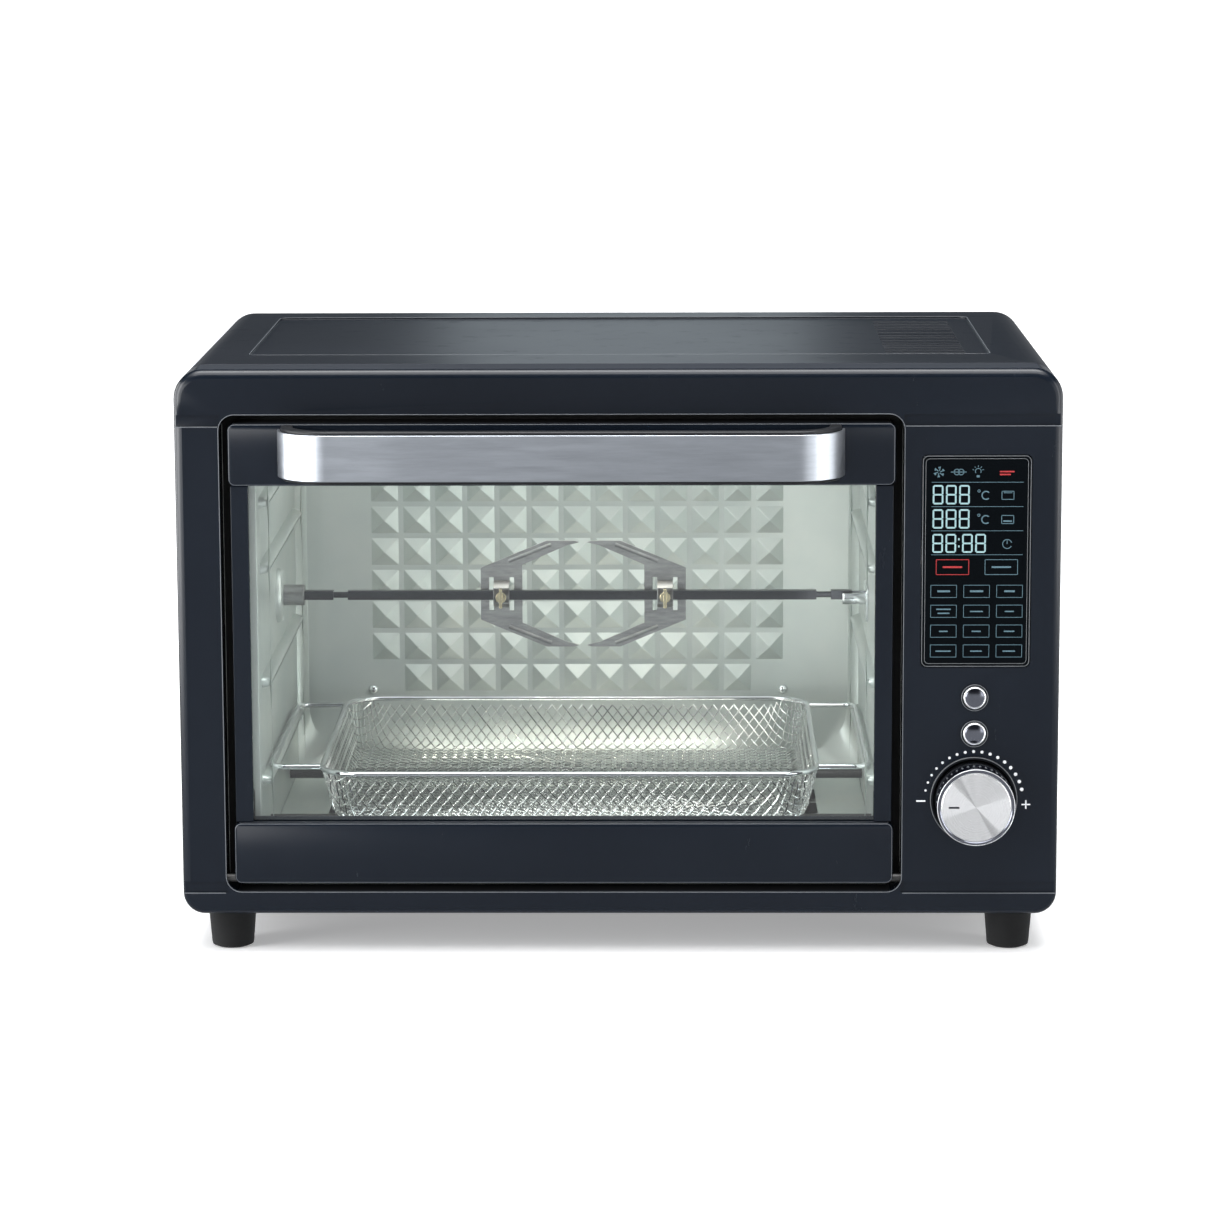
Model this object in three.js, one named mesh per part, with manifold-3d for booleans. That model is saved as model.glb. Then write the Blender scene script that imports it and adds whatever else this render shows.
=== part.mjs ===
// Countertop rotisserie oven, in millimetres, +Z up.
// Each piece is modelled in the oven's own frame: X to the right across the front, Y back from the
// fascia's front face, Z up from the underside of the body. The last group moves the whole oven so that
// the origin is under its middle, on the surface that the feet stand on.
import * as THREE from "three";
import { mergeVertices } from "three/addons/utils/BufferGeometryUtils.js";
import Module from "manifold-3d";

const wasm = await Module();
wasm.setup();

// ---- Driving dimensions ----------------------------------------------------------------------------
const gap = 0.3; // between pieces that touch
const sheet = 1.2; // steel sheet of the casing and the cavity

const bodyWidth = 520;
const bodyHeight = 326.5;
const bodyDepth = 326;
const topRadius = 17.5;
const bottomRadius = 13;
const coverBottom = 16; // where the wrap ends and the base pan starts
const sideColumn = 26.3; // from the body's left side to the door's opening
const panelColumn = 92.3; // from the opening to the body's right side
const topBand = 26.5; // above the opening
const openingBottom = 14;

const fasciaDepth = 30;
const fasciaWall = 2.5;
const fasciaRound = 5;
const grooveWidth = 6.9;
const grooveDepth = 1.4;

const doorGap = 5.2; // between the door and its opening, all round
const doorThickness = 20;
const doorCorner = 4;
const jambWall = 2;
const jambDepth = 21;
const railHeight = 36.8;
const stileWidth = 10.5;
const stileInset = 2;
const glassThickness = 4;
const glassInset = 5.5;
const glassOverlap = 7; // how far the pane runs into the rails
const hingePinRadius = 2.5;
const hingePinY = 5;
const hingeHeight = 7.7; // above the underside of the opening
const hingeRun = 8; // how far a pin reaches into the bottom rail

const handleInset = 30; // from each side of the door
const handleHeight = 31;
const handleReach = 36;
const handleBend = 30;
const handleWall = 7;
const stripThickness = 1.5;
const stripHeight = 27;
const handleBelowDoorTop = 0.5;

const panelFromSide = 50; // from the body's right side to the panel's middle
const displayWidth = 64;
const displayBelowDoorTop = 19;
const displayAboveButton = 18.3; // from the upper button's middle
const displayCorner = 3.5;
const buttonRadius = 6.7;
const bezelWidth = 1.3;
const buttonPitch = 21.7;
const buttonAboveWell = 5.8; // from the well's rim to the lower bezel
const wellAboveDoorBottom = 25;
const wellMargin = 2.9; // between the knob and the well's rim
const knobRadius = 23.1;
const discInset = 2.7;
const knobReach = 23;
const pressTravel = 1.5; // of the knob and of both buttons
const shaftRadius = 3;

const cavityInsetLeft = 19.2; // from the opening to the cavity, on each side
const cavityInsetRight = 14.2;
const cavityInsetBottom = 16;
const cavityAboveOpening = 2;
const cavityFront = 23;
const cavityToRear = 46; // from the cavity's back to the body's
const recessDepth = 12;
const recessMargin = 6.5; // from each side wall to the recess
const recessCorner = 32;
const pyramidPitch = 21;
const pyramidBase = 18.6;
const pyramidHeight = 5;
const pyramidMargin = 22; // least plain border round the pyramids
const pyramidsAboveSpit = 5;

const railDepth = 6; // how far a rack rail stands off its wall
const railBand = 7;
const railRises = [47, 107, 176, 216]; // above the floor, in a cavity of the height below
const railRiseHeight = 272;
const railFrontInset = 15;
const railBackInset = 16;

const spitAboveMiddle = 2; // from the cavity's middle
const spitForward = 0.5;
const rodSize = 5.6;
const socketRadius = 6.5;
const socketReach = 17;
const bossRadius = 17;
const bossHeight = 4;
const forkSpan = 128; // outer edge to outer edge
const forksOffset = 6.8; // from the cavity's middle
const forkBodyWidth = 26;
const forkBodyHalf = 16.4;
const forkTipHalf = 33.5;
const forkTipGap = 4.6;
const forkSheet = 1.5;
const collarWidth = 9.9;
const slitWidth = 2.8; // the slits beside each collar
const slitHeight = 21;

const heaterRadius = 3.3;
const heaterInset = 68; // from spit line to each heater, front and back
const lowerHeaterRise = 10; // above the floor
const upperHeaterDrop = 12; // below the cavity's top

const basketSideRoom = 32.5; // from the basket's rim to each side wall
const basketEndRoom = 6.5;
const basketCorner = 26;
const basketAboveHeater = 3.7;
const basketAboveRail = 0.25;
const basketTaper = 12;
const basketWall = 2.4;
const rimRadius = 1.75;
const wingInset = 23;
const wallClearance = 1.8; // between a wing and its wall

const footHeight = 24.3;
const footRadius = 14.6;
const footTipRadius = 12.6;
const footInsetX = 27;
const footInsetFront = 26;
const footInsetRear = 26;

const glandReach = 8;

// ---- Helpers ---------------------------------------------------------------------------------------
const finishes = {
  navy: [0x20262f, 0.25, 0.3],
  navySheet: [0x23282f, 0.4, 0.4],
  blackPlastic: [0x16181b, 0.6, 0],
  rubber: [0x1c1d1f, 0.85, 0],
  enamel: [0x96a39b, 0.35, 0.2],
  steel: [0xb9bcc0, 0.3, 1],
  chrome: [0xd8dbde, 0.12, 1],
  darkSteel: [0x3c3f42, 0.45, 0.8],
  brass: [0xb9a878, 0.35, 1],
  glass: [0xbfd0cc, 0.05, 0],
  board: [0x24503a, 0.6, 0],
  ceramic: [0xd9d3c5, 0.7, 0],
};

const oven = new THREE.Group();

// Adds one named piece to the oven.
function piece(name, geometry, finish) {
  const [color, roughness, metalness] = finishes[finish];
  const mesh = new THREE.Mesh(geometry, new THREE.MeshStandardMaterial({ color, roughness, metalness }));
  mesh.name = name;
  oven.add(mesh);
  return mesh;
}

function toSolid(geometry) {
  const bare = geometry.clone();
  bare.deleteAttribute("normal");
  bare.deleteAttribute("uv");
  const merged = mergeVertices(bare, 1e-4);
  return new wasm.Manifold(
    new wasm.Mesh({
      numProp: 3,
      vertProperties: new Float32Array(merged.attributes.position.array),
      triVerts: new Uint32Array(merged.index.array),
    }),
  );
}

function toGeometry(solid) {
  const { vertProperties, triVerts, numProp } = solid.getMesh();
  const positions = new Float32Array((vertProperties.length / numProp) * 3);
  for (let i = 0; i < positions.length / 3; i++)
    positions.set(vertProperties.subarray(i * numProp, i * numProp + 3), i * 3);
  const geometry = new THREE.BufferGeometry();
  geometry.setAttribute("position", new THREE.BufferAttribute(positions, 3));
  geometry.setIndex(new THREE.BufferAttribute(new Uint32Array(triVerts), 1));
  geometry.computeVertexNormals();
  return geometry;
}

const join = (...parts) => toGeometry(parts.map(toSolid).reduce((a, b) => a.add(b)));
const cut = (part, ...tools) => toGeometry(tools.map(toSolid).reduce((a, b) => a.subtract(b), toSolid(part)));
const common = (a, b) => toGeometry(toSolid(a).intersect(toSolid(b)));

// A box from its low corner to its high corner.
function box([x0, y0, z0], [x1, y1, z1]) {
  const centre = [(x0 + x1) / 2, (y0 + y1) / 2, (z0 + z1) / 2];
  return new THREE.BoxGeometry(x1 - x0, y1 - y0, z1 - z0).translate(...centre);
}

// A rectangle with its four corner radii given from the bottom left, anticlockwise.
function roundedRectangle([x0, z0], [x1, z1], radii) {
  const [bl, br, tr, tl] = Array.isArray(radii) ? radii : [radii, radii, radii, radii];
  const shape = new THREE.Shape();
  shape.moveTo(x0 + bl, z0);
  shape.lineTo(x1 - br, z0);
  shape.absarc(x1 - br, z0 + br, br, -Math.PI / 2, 0, false);
  shape.lineTo(x1, z1 - tr);
  shape.absarc(x1 - tr, z1 - tr, tr, 0, Math.PI / 2, false);
  shape.lineTo(x0 + tl, z1);
  shape.absarc(x0 + tl, z1 - tl, tl, Math.PI / 2, Math.PI, false);
  shape.lineTo(x0, z0 + bl);
  shape.absarc(x0 + bl, z0 + bl, bl, Math.PI, Math.PI * 1.5, false);
  return shape;
}

// Extrudes a shape drawn in X and Z from y0 back to y1.
function throughY(shape, y0, y1, curveSegments = 6) {
  return new THREE.ExtrudeGeometry(shape, { depth: y1 - y0, bevelEnabled: false, curveSegments })
    .rotateX(Math.PI / 2)
    .translate(0, y1, 0);
}

// Extrudes a shape drawn in X and Y from z0 up to z1.
function upZ(shape, z0, z1, curveSegments = 6) {
  const settings = { depth: z1 - z0, bevelEnabled: false, curveSegments };
  return new THREE.ExtrudeGeometry(shape, settings).translate(0, 0, z0);
}

// A prism in X and Z whose front edges are bevelled in by the size given.
function bevelledY(shape, y0, y1, bevel, bevelSegments, curveSegments = 6) {
  const whole = new THREE.ExtrudeGeometry(shape, {
    depth: 2 * (y1 - y0),
    bevelThickness: bevel,
    bevelSize: bevel,
    bevelOffset: -bevel,
    bevelSegments,
    curveSegments,
  })
    .rotateX(Math.PI / 2)
    .translate(0, y0 + bevel + 2 * (y1 - y0), 0);
  whole.computeBoundingBox();
  const { min, max } = whole.boundingBox;
  return common(whole, box([min.x - 1, y0 - 1, min.z - 1], [max.x + 1, y1, max.z + 1]));
}

// A cylinder between two places on a line parallel to one axis.
function rodX(x0, x1, y, z, radius, sides = 12) {
  const rod = new THREE.CylinderGeometry(radius, radius, x1 - x0, sides);
  return rod.rotateZ(Math.PI / 2).translate((x0 + x1) / 2, y, z);
}
function rodY(y0, y1, x, z, radius, sides = 24) {
  return new THREE.CylinderGeometry(radius, radius, y1 - y0, sides).translate(x, (y0 + y1) / 2, z);
}
function rodZ(z0, z1, x, y, radius, sides = 12) {
  const rod = new THREE.CylinderGeometry(radius, radius, z1 - z0, sides);
  return rod.rotateX(Math.PI / 2).translate(x, y, (z0 + z1) / 2);
}

// A turned piece about a line along Y: the profile is [radius, y] pairs that start and end on the axis.
function turnedY(profile, x, z, sides = 32) {
  const points = profile.map(([radius, y]) => new THREE.Vector2(radius, y));
  return new THREE.LatheGeometry(points, sides).translate(x, 0, z);
}

// ---- Places worked out from the dimensions -----------------------------------------------------------
const halfBody = bodyWidth / 2;
const coverFront = fasciaDepth + gap;
const openingLeft = -halfBody + sideColumn;
const openingRight = halfBody - panelColumn;
const openingTop = bodyHeight - topBand;
const doorLeft = openingLeft + doorGap;
const doorRight = openingRight - doorGap;
const doorBottom = openingBottom + doorGap;
const doorTop = openingTop - doorGap;
const hingeZ = openingBottom + hingeHeight;
const glassBack = glassInset + glassThickness;
const handleTop = doorTop - handleBelowDoorTop;
const handleMiddleZ = handleTop - handleHeight / 2;

const panelCentreX = halfBody - panelFromSide;
const wellRadius = knobRadius + wellMargin;
const discRadius = knobRadius - discInset;
const bezelRadius = buttonRadius + bezelWidth;
const knobCentreZ = doorBottom + wellAboveDoorBottom + wellRadius;
const lowerButtonZ = knobCentreZ + wellRadius + buttonAboveWell + bezelRadius;
const buttonHeights = [lowerButtonZ + buttonPitch, lowerButtonZ];
const displayLow = [panelCentreX - displayWidth / 2, buttonHeights[0] + displayAboveButton];
const displayHigh = [panelCentreX + displayWidth / 2, doorTop - displayBelowDoorTop];

const cavityLeft = openingLeft + cavityInsetLeft;
const cavityRight = openingRight - cavityInsetRight;
const cavityBottom = openingBottom + cavityInsetBottom;
const cavityTop = openingTop + cavityAboveOpening;
const cavityBack = bodyDepth - cavityToRear;
const cavityCentreX = (cavityLeft + cavityRight) / 2;
const recessBack = cavityBack + recessDepth;
const railScale = (cavityTop - cavityBottom) / railRiseHeight;
const rackRailTops = railRises.map((rise) => cavityBottom + rise * railScale);
const railFront = cavityFront + railFrontInset;
const railBack = cavityBack - railBackInset;

const spitZ = (cavityBottom + cavityTop) / 2 + spitAboveMiddle;
const spitY = (cavityFront + cavityBack) / 2 - spitForward;
const forkMiddleX = cavityCentreX + forksOffset;
const lowerHeaterZ = cavityBottom + lowerHeaterRise;
const upperHeaterZ = cavityTop - upperHeaterDrop;
const basketLeft = cavityLeft + basketSideRoom;
const basketRight = cavityRight - basketSideRoom;
const basketFront = cavityFront + basketEndRoom - spitForward;
const basketBack = cavityBack - basketEndRoom - spitForward;
const basketRimZ = rackRailTops[0] + basketAboveRail + rimRadius;
const basketFloorZ = lowerHeaterZ + heaterRadius + basketAboveHeater;

// ---- Casing ------------------------------------------------------------------------------------------
const bodyOutline = (inset) =>
  roundedRectangle([-halfBody + inset, inset], [halfBody - inset, bodyHeight - inset], [
    bottomRadius - inset,
    bottomRadius - inset,
    topRadius - inset,
    topRadius - inset,
  ]);

const panelHalfWidth = halfBody - 37.4;
const pressedPanel = { front: 79.3, back: bodyDepth - 30, corner: 5, depth: sheet };
const topVents = {
  left: halfBody - 99,
  right: halfBody - 51,
  front: 92,
  back: bodyDepth - 42,
  slot: 3.2,
  pitch: 9.6,
};
const sideVents = { front: 90, back: bodyDepth - 72, low: 80, high: 128, slot: 4, pitch: 16 };
const rearVents = { margin: 70, between: 100, rows: 7, low: bodyHeight - 126.5, slot: 4.5, pitch: 12 };
const gland = { x: halfBody - 55, z: 52, neckRadius: 6, flange: 3, bore: 3.5 };

// The wrap over the top and down both sides, with its pressed panel and its vent slots.
function outerCover() {
  const back = bodyDepth;
  const ring = cut(
    throughY(bodyOutline(0), coverFront, back),
    throughY(bodyOutline(sheet), coverFront - 1, back + 1),
    box([-halfBody - 1, coverFront - 1, -1], [halfBody + 1, back + 1, coverBottom + gap]),
  );
  const { front, back: rear, corner, depth } = pressedPanel;
  const panel = (grow) =>
    roundedRectangle([-panelHalfWidth - grow, front - grow], [panelHalfWidth + grow, rear + grow], corner);
  const tools = [upZ(panel(0), bodyHeight - depth, bodyHeight + 1)];
  const { left, right, slot, pitch } = topVents;
  for (let y = topVents.front; y + slot < topVents.back; y += pitch)
    tools.push(box([left, y, bodyHeight - depth - 2 * sheet], [right, y + slot, bodyHeight + 1]));
  for (let y = sideVents.front; y + sideVents.slot < sideVents.back + 1; y += sideVents.pitch)
    tools.push(
      box([halfBody - 2 * sheet, y, sideVents.low], [halfBody + 1, y + sideVents.slot, sideVents.high]),
    );
  return cut(join(ring, upZ(panel(sheet), bodyHeight - depth - sheet, bodyHeight - sheet / 2)), ...tools);
}

// The tray under the oven, which meets the wrap along both sides.
function basePan() {
  const back = bodyDepth;
  return cut(
    throughY(bodyOutline(0), coverFront, back),
    throughY(bodyOutline(sheet), coverFront - 1, back + 1),
    box([-halfBody - 1, coverFront - 1, coverBottom], [halfBody + 1, back + 1, bodyHeight + 1]),
  );
}

// The rear sheet lies inside the wrap, with rows of vent slots.
function rearCover() {
  const inset = sheet + gap;
  const front = bodyDepth - sheet - 1;
  const tools = [rodY(front, bodyDepth + 1, gland.x, gland.z, gland.neckRadius + gap, 20)];
  const { margin, between, rows, low, slot, pitch } = rearVents;
  const spans = [
    [-halfBody + margin, -between / 2],
    [between / 2, halfBody - margin],
  ];
  for (const [left, right] of spans)
    for (let row = 0; row < rows; row++) {
      const z = low + row * pitch;
      tools.push(box([left, front, z], [right, bodyDepth + 1, z + slot]));
    }
  return cut(throughY(bodyOutline(inset), bodyDepth - sheet, bodyDepth), ...tools);
}

const displayOutline = (grow) =>
  roundedRectangle(
    displayLow.map((value) => value - grow),
    displayHigh.map((value) => value + grow),
    displayCorner,
  );

// The moulded front: a shell with a rounded front edge, a jamb round the door and the panel's holes.
function frontFascia() {
  const shell = cut(
    bevelledY(bodyOutline(0), 0, fasciaDepth, fasciaRound, 4, 5),
    throughY(bodyOutline(fasciaWall), fasciaRound + 0.5, fasciaDepth + 1),
    throughY(bodyOutline(fasciaRound), fasciaWall, fasciaDepth),
  );
  const corner = doorCorner + doorGap;
  const jamb = throughY(
    roundedRectangle(
      [openingLeft - jambWall, Math.max(openingBottom - jambWall, fasciaWall)],
      [openingRight + jambWall, openingTop + jambWall],
      corner + jambWall,
    ),
    fasciaWall / 2,
    jambDepth,
  );
  const opening = throughY(
    roundedRectangle([openingLeft, openingBottom], [openingRight, openingTop], corner),
    -1,
    jambDepth + 1,
  );
  const display = throughY(displayOutline(gap), -1, fasciaWall + 1);
  const holes = buttonHeights.map((z) => rodY(-1, fasciaWall + 1, panelCentreX, z, buttonRadius + gap, 24));
  const well = rodY(-1, fasciaWall + 1, panelCentreX, knobCentreZ, wellRadius - wellFlange, 36);
  const pinHoles = hingePins().map((pin) =>
    rodX(pin.outer - 1, pin.inner + 1, hingePinY, hingeZ, hingePinRadius + gap),
  );
  const grooves = [openingTop - grooveWidth, openingBottom - 0.6].flatMap((z) => [
    box([-halfBody - 1, -1, z], [openingLeft + 0.5, grooveDepth, z + grooveWidth]),
    box([openingRight - 0.5, -1, z], [halfBody + 1, grooveDepth, z + grooveWidth]),
  ]);
  return cut(join(shell, jamb), opening, display, ...holes, well, ...pinHoles, ...grooves);
}

// ---- Door --------------------------------------------------------------------------------------------
// Each hinge pin passes through the jamb, across the gap and into the end of the bottom rail.
function hingePins() {
  return [
    { side: "left", outer: openingLeft - jambWall - 3, inner: doorLeft + hingeRun },
    { side: "right", outer: doorRight - hingeRun, inner: openingRight + jambWall + 3 },
  ];
}

function doorRail(bottom, top) {
  const outline = roundedRectangle([doorLeft, bottom], [doorRight, top], doorCorner);
  return bevelledY(outline, 0, doorThickness, 1.2, 2, 4);
}

const glassBottom = doorBottom + railHeight - glassOverlap;
const glassTop = doorTop - railHeight + glassOverlap;

function glassSlot() {
  return box(
    [doorLeft + 1.5, glassInset - gap, glassBottom - gap],
    [doorRight - 1.5, glassBack + gap, glassTop + gap],
  );
}

function doorBottomRail() {
  const holes = hingePins().map(({ side, outer, inner }) =>
    side === "left"
      ? rodX(outer - 5, inner + gap, hingePinY, hingeZ, hingePinRadius + gap)
      : rodX(outer - gap, inner + 5, hingePinY, hingeZ, hingePinRadius + gap),
  );
  return cut(doorRail(doorBottom, doorBottom + railHeight), glassSlot(), ...holes);
}

function doorTopRail() {
  return cut(doorRail(doorTop - railHeight, doorTop), glassSlot());
}

// A folded sheet channel beside the glass, between the rails.
function doorStile(side) {
  const left = side === "left" ? doorLeft + 1 : doorRight - 1 - stileWidth;
  const low = doorBottom + railHeight + gap;
  const high = doorTop - railHeight - gap;
  const bar = box([left, stileInset, low], [left + stileWidth, doorThickness, high]);
  const inner = side === "left" ? left + stileWidth - 4 : left - 1;
  return cut(
    bar,
    glassSlot(),
    box([inner, glassBack + gap, low - 1], [inner + 5, doorThickness + 1, high + 1]),
  );
}

// The handle is a bow: its ends curve back to the top rail and leave room for fingers behind it.
function bowOutline(offset, end) {
  const left = doorLeft + handleInset + offset;
  const right = doorRight - handleInset - offset;
  const front = -handleReach + offset;
  const bend = handleBend - offset;
  const shape = new THREE.Shape();
  shape.moveTo(left, end);
  shape.lineTo(left, front + bend);
  shape.absarc(left + bend, front + bend, bend, Math.PI, Math.PI * 1.5, false);
  shape.absarc(right - bend, front + bend, bend, Math.PI * 1.5, Math.PI * 2, false);
  shape.lineTo(right, end);
  return shape;
}

function handleBow(offset, wall, end, height) {
  const low = handleMiddleZ - height / 2;
  return cut(
    upZ(bowOutline(offset, end), low, low + height, 8),
    upZ(bowOutline(offset + wall, end + 1), low - 1, low + height + 1, 8),
  );
}

// ---- Controls ----------------------------------------------------------------------------------------
const displayProud = 0.3; // how far the window stands off the fascia
const ringProud = 1; // and the bezels and the well's rim

function displayWindow() {
  return throughY(displayOutline(0), -displayProud, fasciaWall);
}

// A bezel is a flat ring on the fascia, round the button's hole.
function buttonBezel(z) {
  return cut(
    rodY(-ringProud, -gap, panelCentreX, z, bezelRadius, 24),
    rodY(-ringProud - 1, 1, panelCentreX, z, buttonRadius + gap, 24),
  );
}

// A domed cap that goes through its hole, with a stem behind.
function button(z) {
  const dome = [
    [0, -2.5],
    [buttonRadius * 0.5, -2.3],
    [buttonRadius * 0.85, -1.8],
    [buttonRadius, -1],
  ];
  const back = [
    [buttonRadius, 4],
    [2, 4],
    [2, 9],
    [0, 9],
  ];
  return turnedY([...dome, ...back], panelCentreX, z, 24);
}

// The well is a shallow cup in the fascia, and the knob turns in front of its floor.
const wellFloor = fasciaWall + 2;
const wellWall = 1.2;
const wellFlange = 1; // how far the rim lies over the fascia
function knobWell() {
  const cup = wellRadius - wellFlange - gap;
  return cut(
    join(
      rodY(-ringProud, -gap, panelCentreX, knobCentreZ, wellRadius, 36),
      rodY(-gap - 0.2, wellFloor + wellWall, panelCentreX, knobCentreZ, cup, 36),
    ),
    rodY(-ringProud - 1, wellFloor, panelCentreX, knobCentreZ, cup + 0.3 - wellWall, 36),
    rodY(wellFloor - 1, wellFloor + wellWall + 1, panelCentreX, knobCentreZ, shaftRadius + gap, 20),
  );
}

const skirtWall = 2.5;
const discSeat = -knobReach + 0.8;
const capBack = -knobReach + 5; // the back of the skirt's solid front
const skirtEnd = wellFloor - 1 - pressTravel;

// The skirt is a cup that opens backwards, with a chamfered rim round the disc's seat.
function knobSkirt() {
  const profile = [
    [0, discSeat],
    [discRadius + 0.5, discSeat],
    [knobRadius - 1.4, -knobReach],
    [knobRadius, -knobReach + 1.8],
    [knobRadius, skirtEnd],
    [knobRadius - skirtWall, skirtEnd],
    [knobRadius - skirtWall, capBack],
    [0, capBack],
  ];
  return turnedY(profile, panelCentreX, knobCentreZ, 40);
}

const knobDisc = () => rodY(-knobReach + 0.1, discSeat - gap, panelCentreX, knobCentreZ, discRadius, 40);
const shaftFront = capBack + gap;
const shaftBack = wellFloor + 8;
const knobShaft = () => rodY(shaftFront, shaftBack, panelCentreX, knobCentreZ, shaftRadius, 20);
const plungerFront = shaftBack + gap;
const plungerBack = plungerFront + 4;
const encoderPlunger = () => rodY(plungerFront, plungerBack, panelCentreX, knobCentreZ, shaftRadius - 0.5, 16);

function encoderBody() {
  const front = wellFloor + wellWall + gap;
  const end = plungerBack + pressTravel;
  const half = shaftRadius + 4;
  return cut(
    box([panelCentreX - half, front, knobCentreZ - half], [panelCentreX + half, end + 3, knobCentreZ + half]),
    rodY(front - 1, end + gap, panelCentreX, knobCentreZ, shaftRadius + gap, 20),
  );
}

const boardY = 15;
const boardThickness = 1.6;
const displayBoard = () =>
  box(
    [displayLow[0] + 3, boardY, lowerButtonZ - bezelRadius],
    [displayHigh[0] - 3, boardY + boardThickness, displayHigh[1] - 4],
  );

// ---- Cavity ------------------------------------------------------------------------------------------
const fan = { y: spitY + 65, z: spitZ, radius: 28, hub: 7 };
const lamp = { y: spitY + 15, z: cavityTop - 28, radius: 15 };

function rackRail(face, into, top) {
  const [x0, x1] = [face - (into * sheet) / 2, face + into * railDepth].sort((a, b) => a - b);
  const length = railBack - railFront;
  const bar = new THREE.ExtrudeGeometry(
    roundedRectangle([-length / 2, -railBand / 2], [length / 2, railBand / 2], railBand / 2 - 0.01),
    { depth: x1 - x0, bevelEnabled: false, curveSegments: 4 },
  );
  return bar
    .rotateX(Math.PI / 2)
    .rotateZ(Math.PI / 2)
    .translate(x0, (railFront + railBack) / 2, top - railBand / 2);
}

// A side wall with its four pressed rails, standing from the floor to the top.
function sideWall(face, into) {
  const outside = face - into * sheet;
  const wall = box(
    [Math.min(face, outside), cavityFront + gap, cavityBottom - sheet],
    [Math.max(face, outside), cavityBack - gap, cavityTop + sheet],
  );
  return join(wall, ...rackRailTops.map((top) => rackRail(face, into, top)));
}

function heaterHoles(face) {
  return heaterPlaces().map(({ y, z }) => rodX(face - 9, face + 9, y, z, heaterRadius + gap, 10));
}

// The left wall has a round boss about the drive socket.
function leftWall() {
  const boss = rodX(cavityLeft - sheet / 2, cavityLeft + bossHeight, spitY, spitZ, bossRadius, 28);
  return cut(
    join(sideWall(cavityLeft, 1), boss),
    rodX(cavityLeft - 2 * sheet, cavityLeft + bossHeight + 1, spitY, spitZ, socketRadius + gap, 20),
    ...heaterHoles(cavityLeft),
  );
}

// The right wall also has the fan's radial slots and the lamp's hole.
function rightWall() {
  const slots = [];
  const count = 10;
  for (let i = 0; i < count; i++) {
    const slot = box([-2 * sheet, -2, fan.hub + 2], [2 * sheet, 2, fan.radius - 3]);
    slots.push(slot.rotateX((i * 2 * Math.PI) / count).translate(cavityRight, fan.y, fan.z));
  }
  return cut(
    sideWall(cavityRight, -1),
    ...slots,
    rodX(cavityRight - 1, cavityRight + 2 * sheet, lamp.y, lamp.z, lamp.radius - 3, 24),
    ...heaterHoles(cavityRight),
  );
}

const cavityTopPlate = () =>
  box(
    [cavityLeft + gap, cavityFront + gap, cavityTop],
    [cavityRight - gap, cavityBack - gap, cavityTop + sheet],
  );

const floorRibs = { offsets: [-81, -41, -1, 39], width: 7, inset: 30, height: 1.5 };

// The floor has pressed ribs that run across the oven.
function cavityFloor() {
  const plate = box(
    [cavityLeft + gap, cavityFront + gap, cavityBottom - sheet],
    [cavityRight - gap, cavityBack - gap, cavityBottom],
  );
  const { offsets, width, inset, height } = floorRibs;
  const ribs = offsets.map((offset) => {
    const y = spitY + offset;
    return box(
      [cavityLeft + inset, y, cavityBottom - sheet / 2],
      [cavityRight - inset, y + width, cavityBottom + height],
    );
  });
  return join(plate, ...ribs);
}

// A pressed pan: a flange round a recess with sloped sides, and rows of pyramids on its flat.
function cavityBackPan() {
  const { left, right, low, high } = recessEdges();
  const flat = (grow, radius) =>
    roundedRectangle(
      [left + recessDepth - grow, low + recessDepth - grow],
      [right - recessDepth + grow, high - recessDepth + grow],
      radius,
    );
  const frustum = (grow, back) => {
    const whole = new THREE.ExtrudeGeometry(flat(grow, recessCorner - recessDepth), {
      depth: 40,
      bevelThickness: recessDepth,
      bevelSize: recessDepth,
      bevelSegments: 1,
      curveSegments: 6,
    })
      .rotateX(Math.PI / 2)
      .translate(0, back - recessDepth, 0);
    return whole;
  };
  const keep = box(
    [cavityLeft - 20, cavityBack, cavityBottom - 20],
    [cavityRight + 20, recessBack + 9, cavityTop + 20],
  );
  const flange = box(
    [cavityLeft - sheet, cavityBack, cavityBottom - sheet],
    [cavityRight + sheet, cavityBack + sheet, cavityTop + sheet],
  );
  const pan = cut(join(flange, common(frustum(sheet, recessBack + sheet), keep)), frustum(0, recessBack));
  const pyramids = pyramidPlaces(right - left, high - low).map(([x, z]) =>
    new THREE.CylinderGeometry(pyramidBase / Math.SQRT2, 0, pyramidHeight, 4)
      .rotateY(Math.PI / 4)
      .translate(x, recessBack - pyramidHeight / 2 + 0.2, z),
  );
  const screwHoles = backScrewPlaces().map(([x, z]) =>
    rodY(recessBack - 3, recessBack + 4, x, z, backScrew.shank + gap, 12),
  );
  return cut(join(pan, ...pyramids), ...screwHoles);
}

// As many rows and columns as the flat holds; the corner places stay plain.
function pyramidPlaces(recessWidth, recessHeight) {
  const count = (size) => Math.floor((size - 2 * recessDepth - 2 * pyramidMargin) / pyramidPitch);
  const columns = count(recessWidth);
  const rows = count(recessHeight);
  const places = [];
  for (let row = 0; row < rows; row++)
    for (let column = 0; column < columns; column++) {
      const endRow = row === 0 || row === rows - 1;
      if (endRow && (column === 0 || column === columns - 1)) continue;
      const x = cavityCentreX + (column - (columns - 1) / 2) * pyramidPitch;
      const z = spitZ + pyramidsAboveSpit + (row - (rows - 1) / 2) * pyramidPitch;
      places.push([x, z]);
    }
  return places;
}

function recessEdges() {
  return {
    left: cavityLeft + recessMargin,
    right: cavityRight - recessMargin,
    low: cavityBottom + 8,
    high: cavityTop - 3,
  };
}

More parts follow.
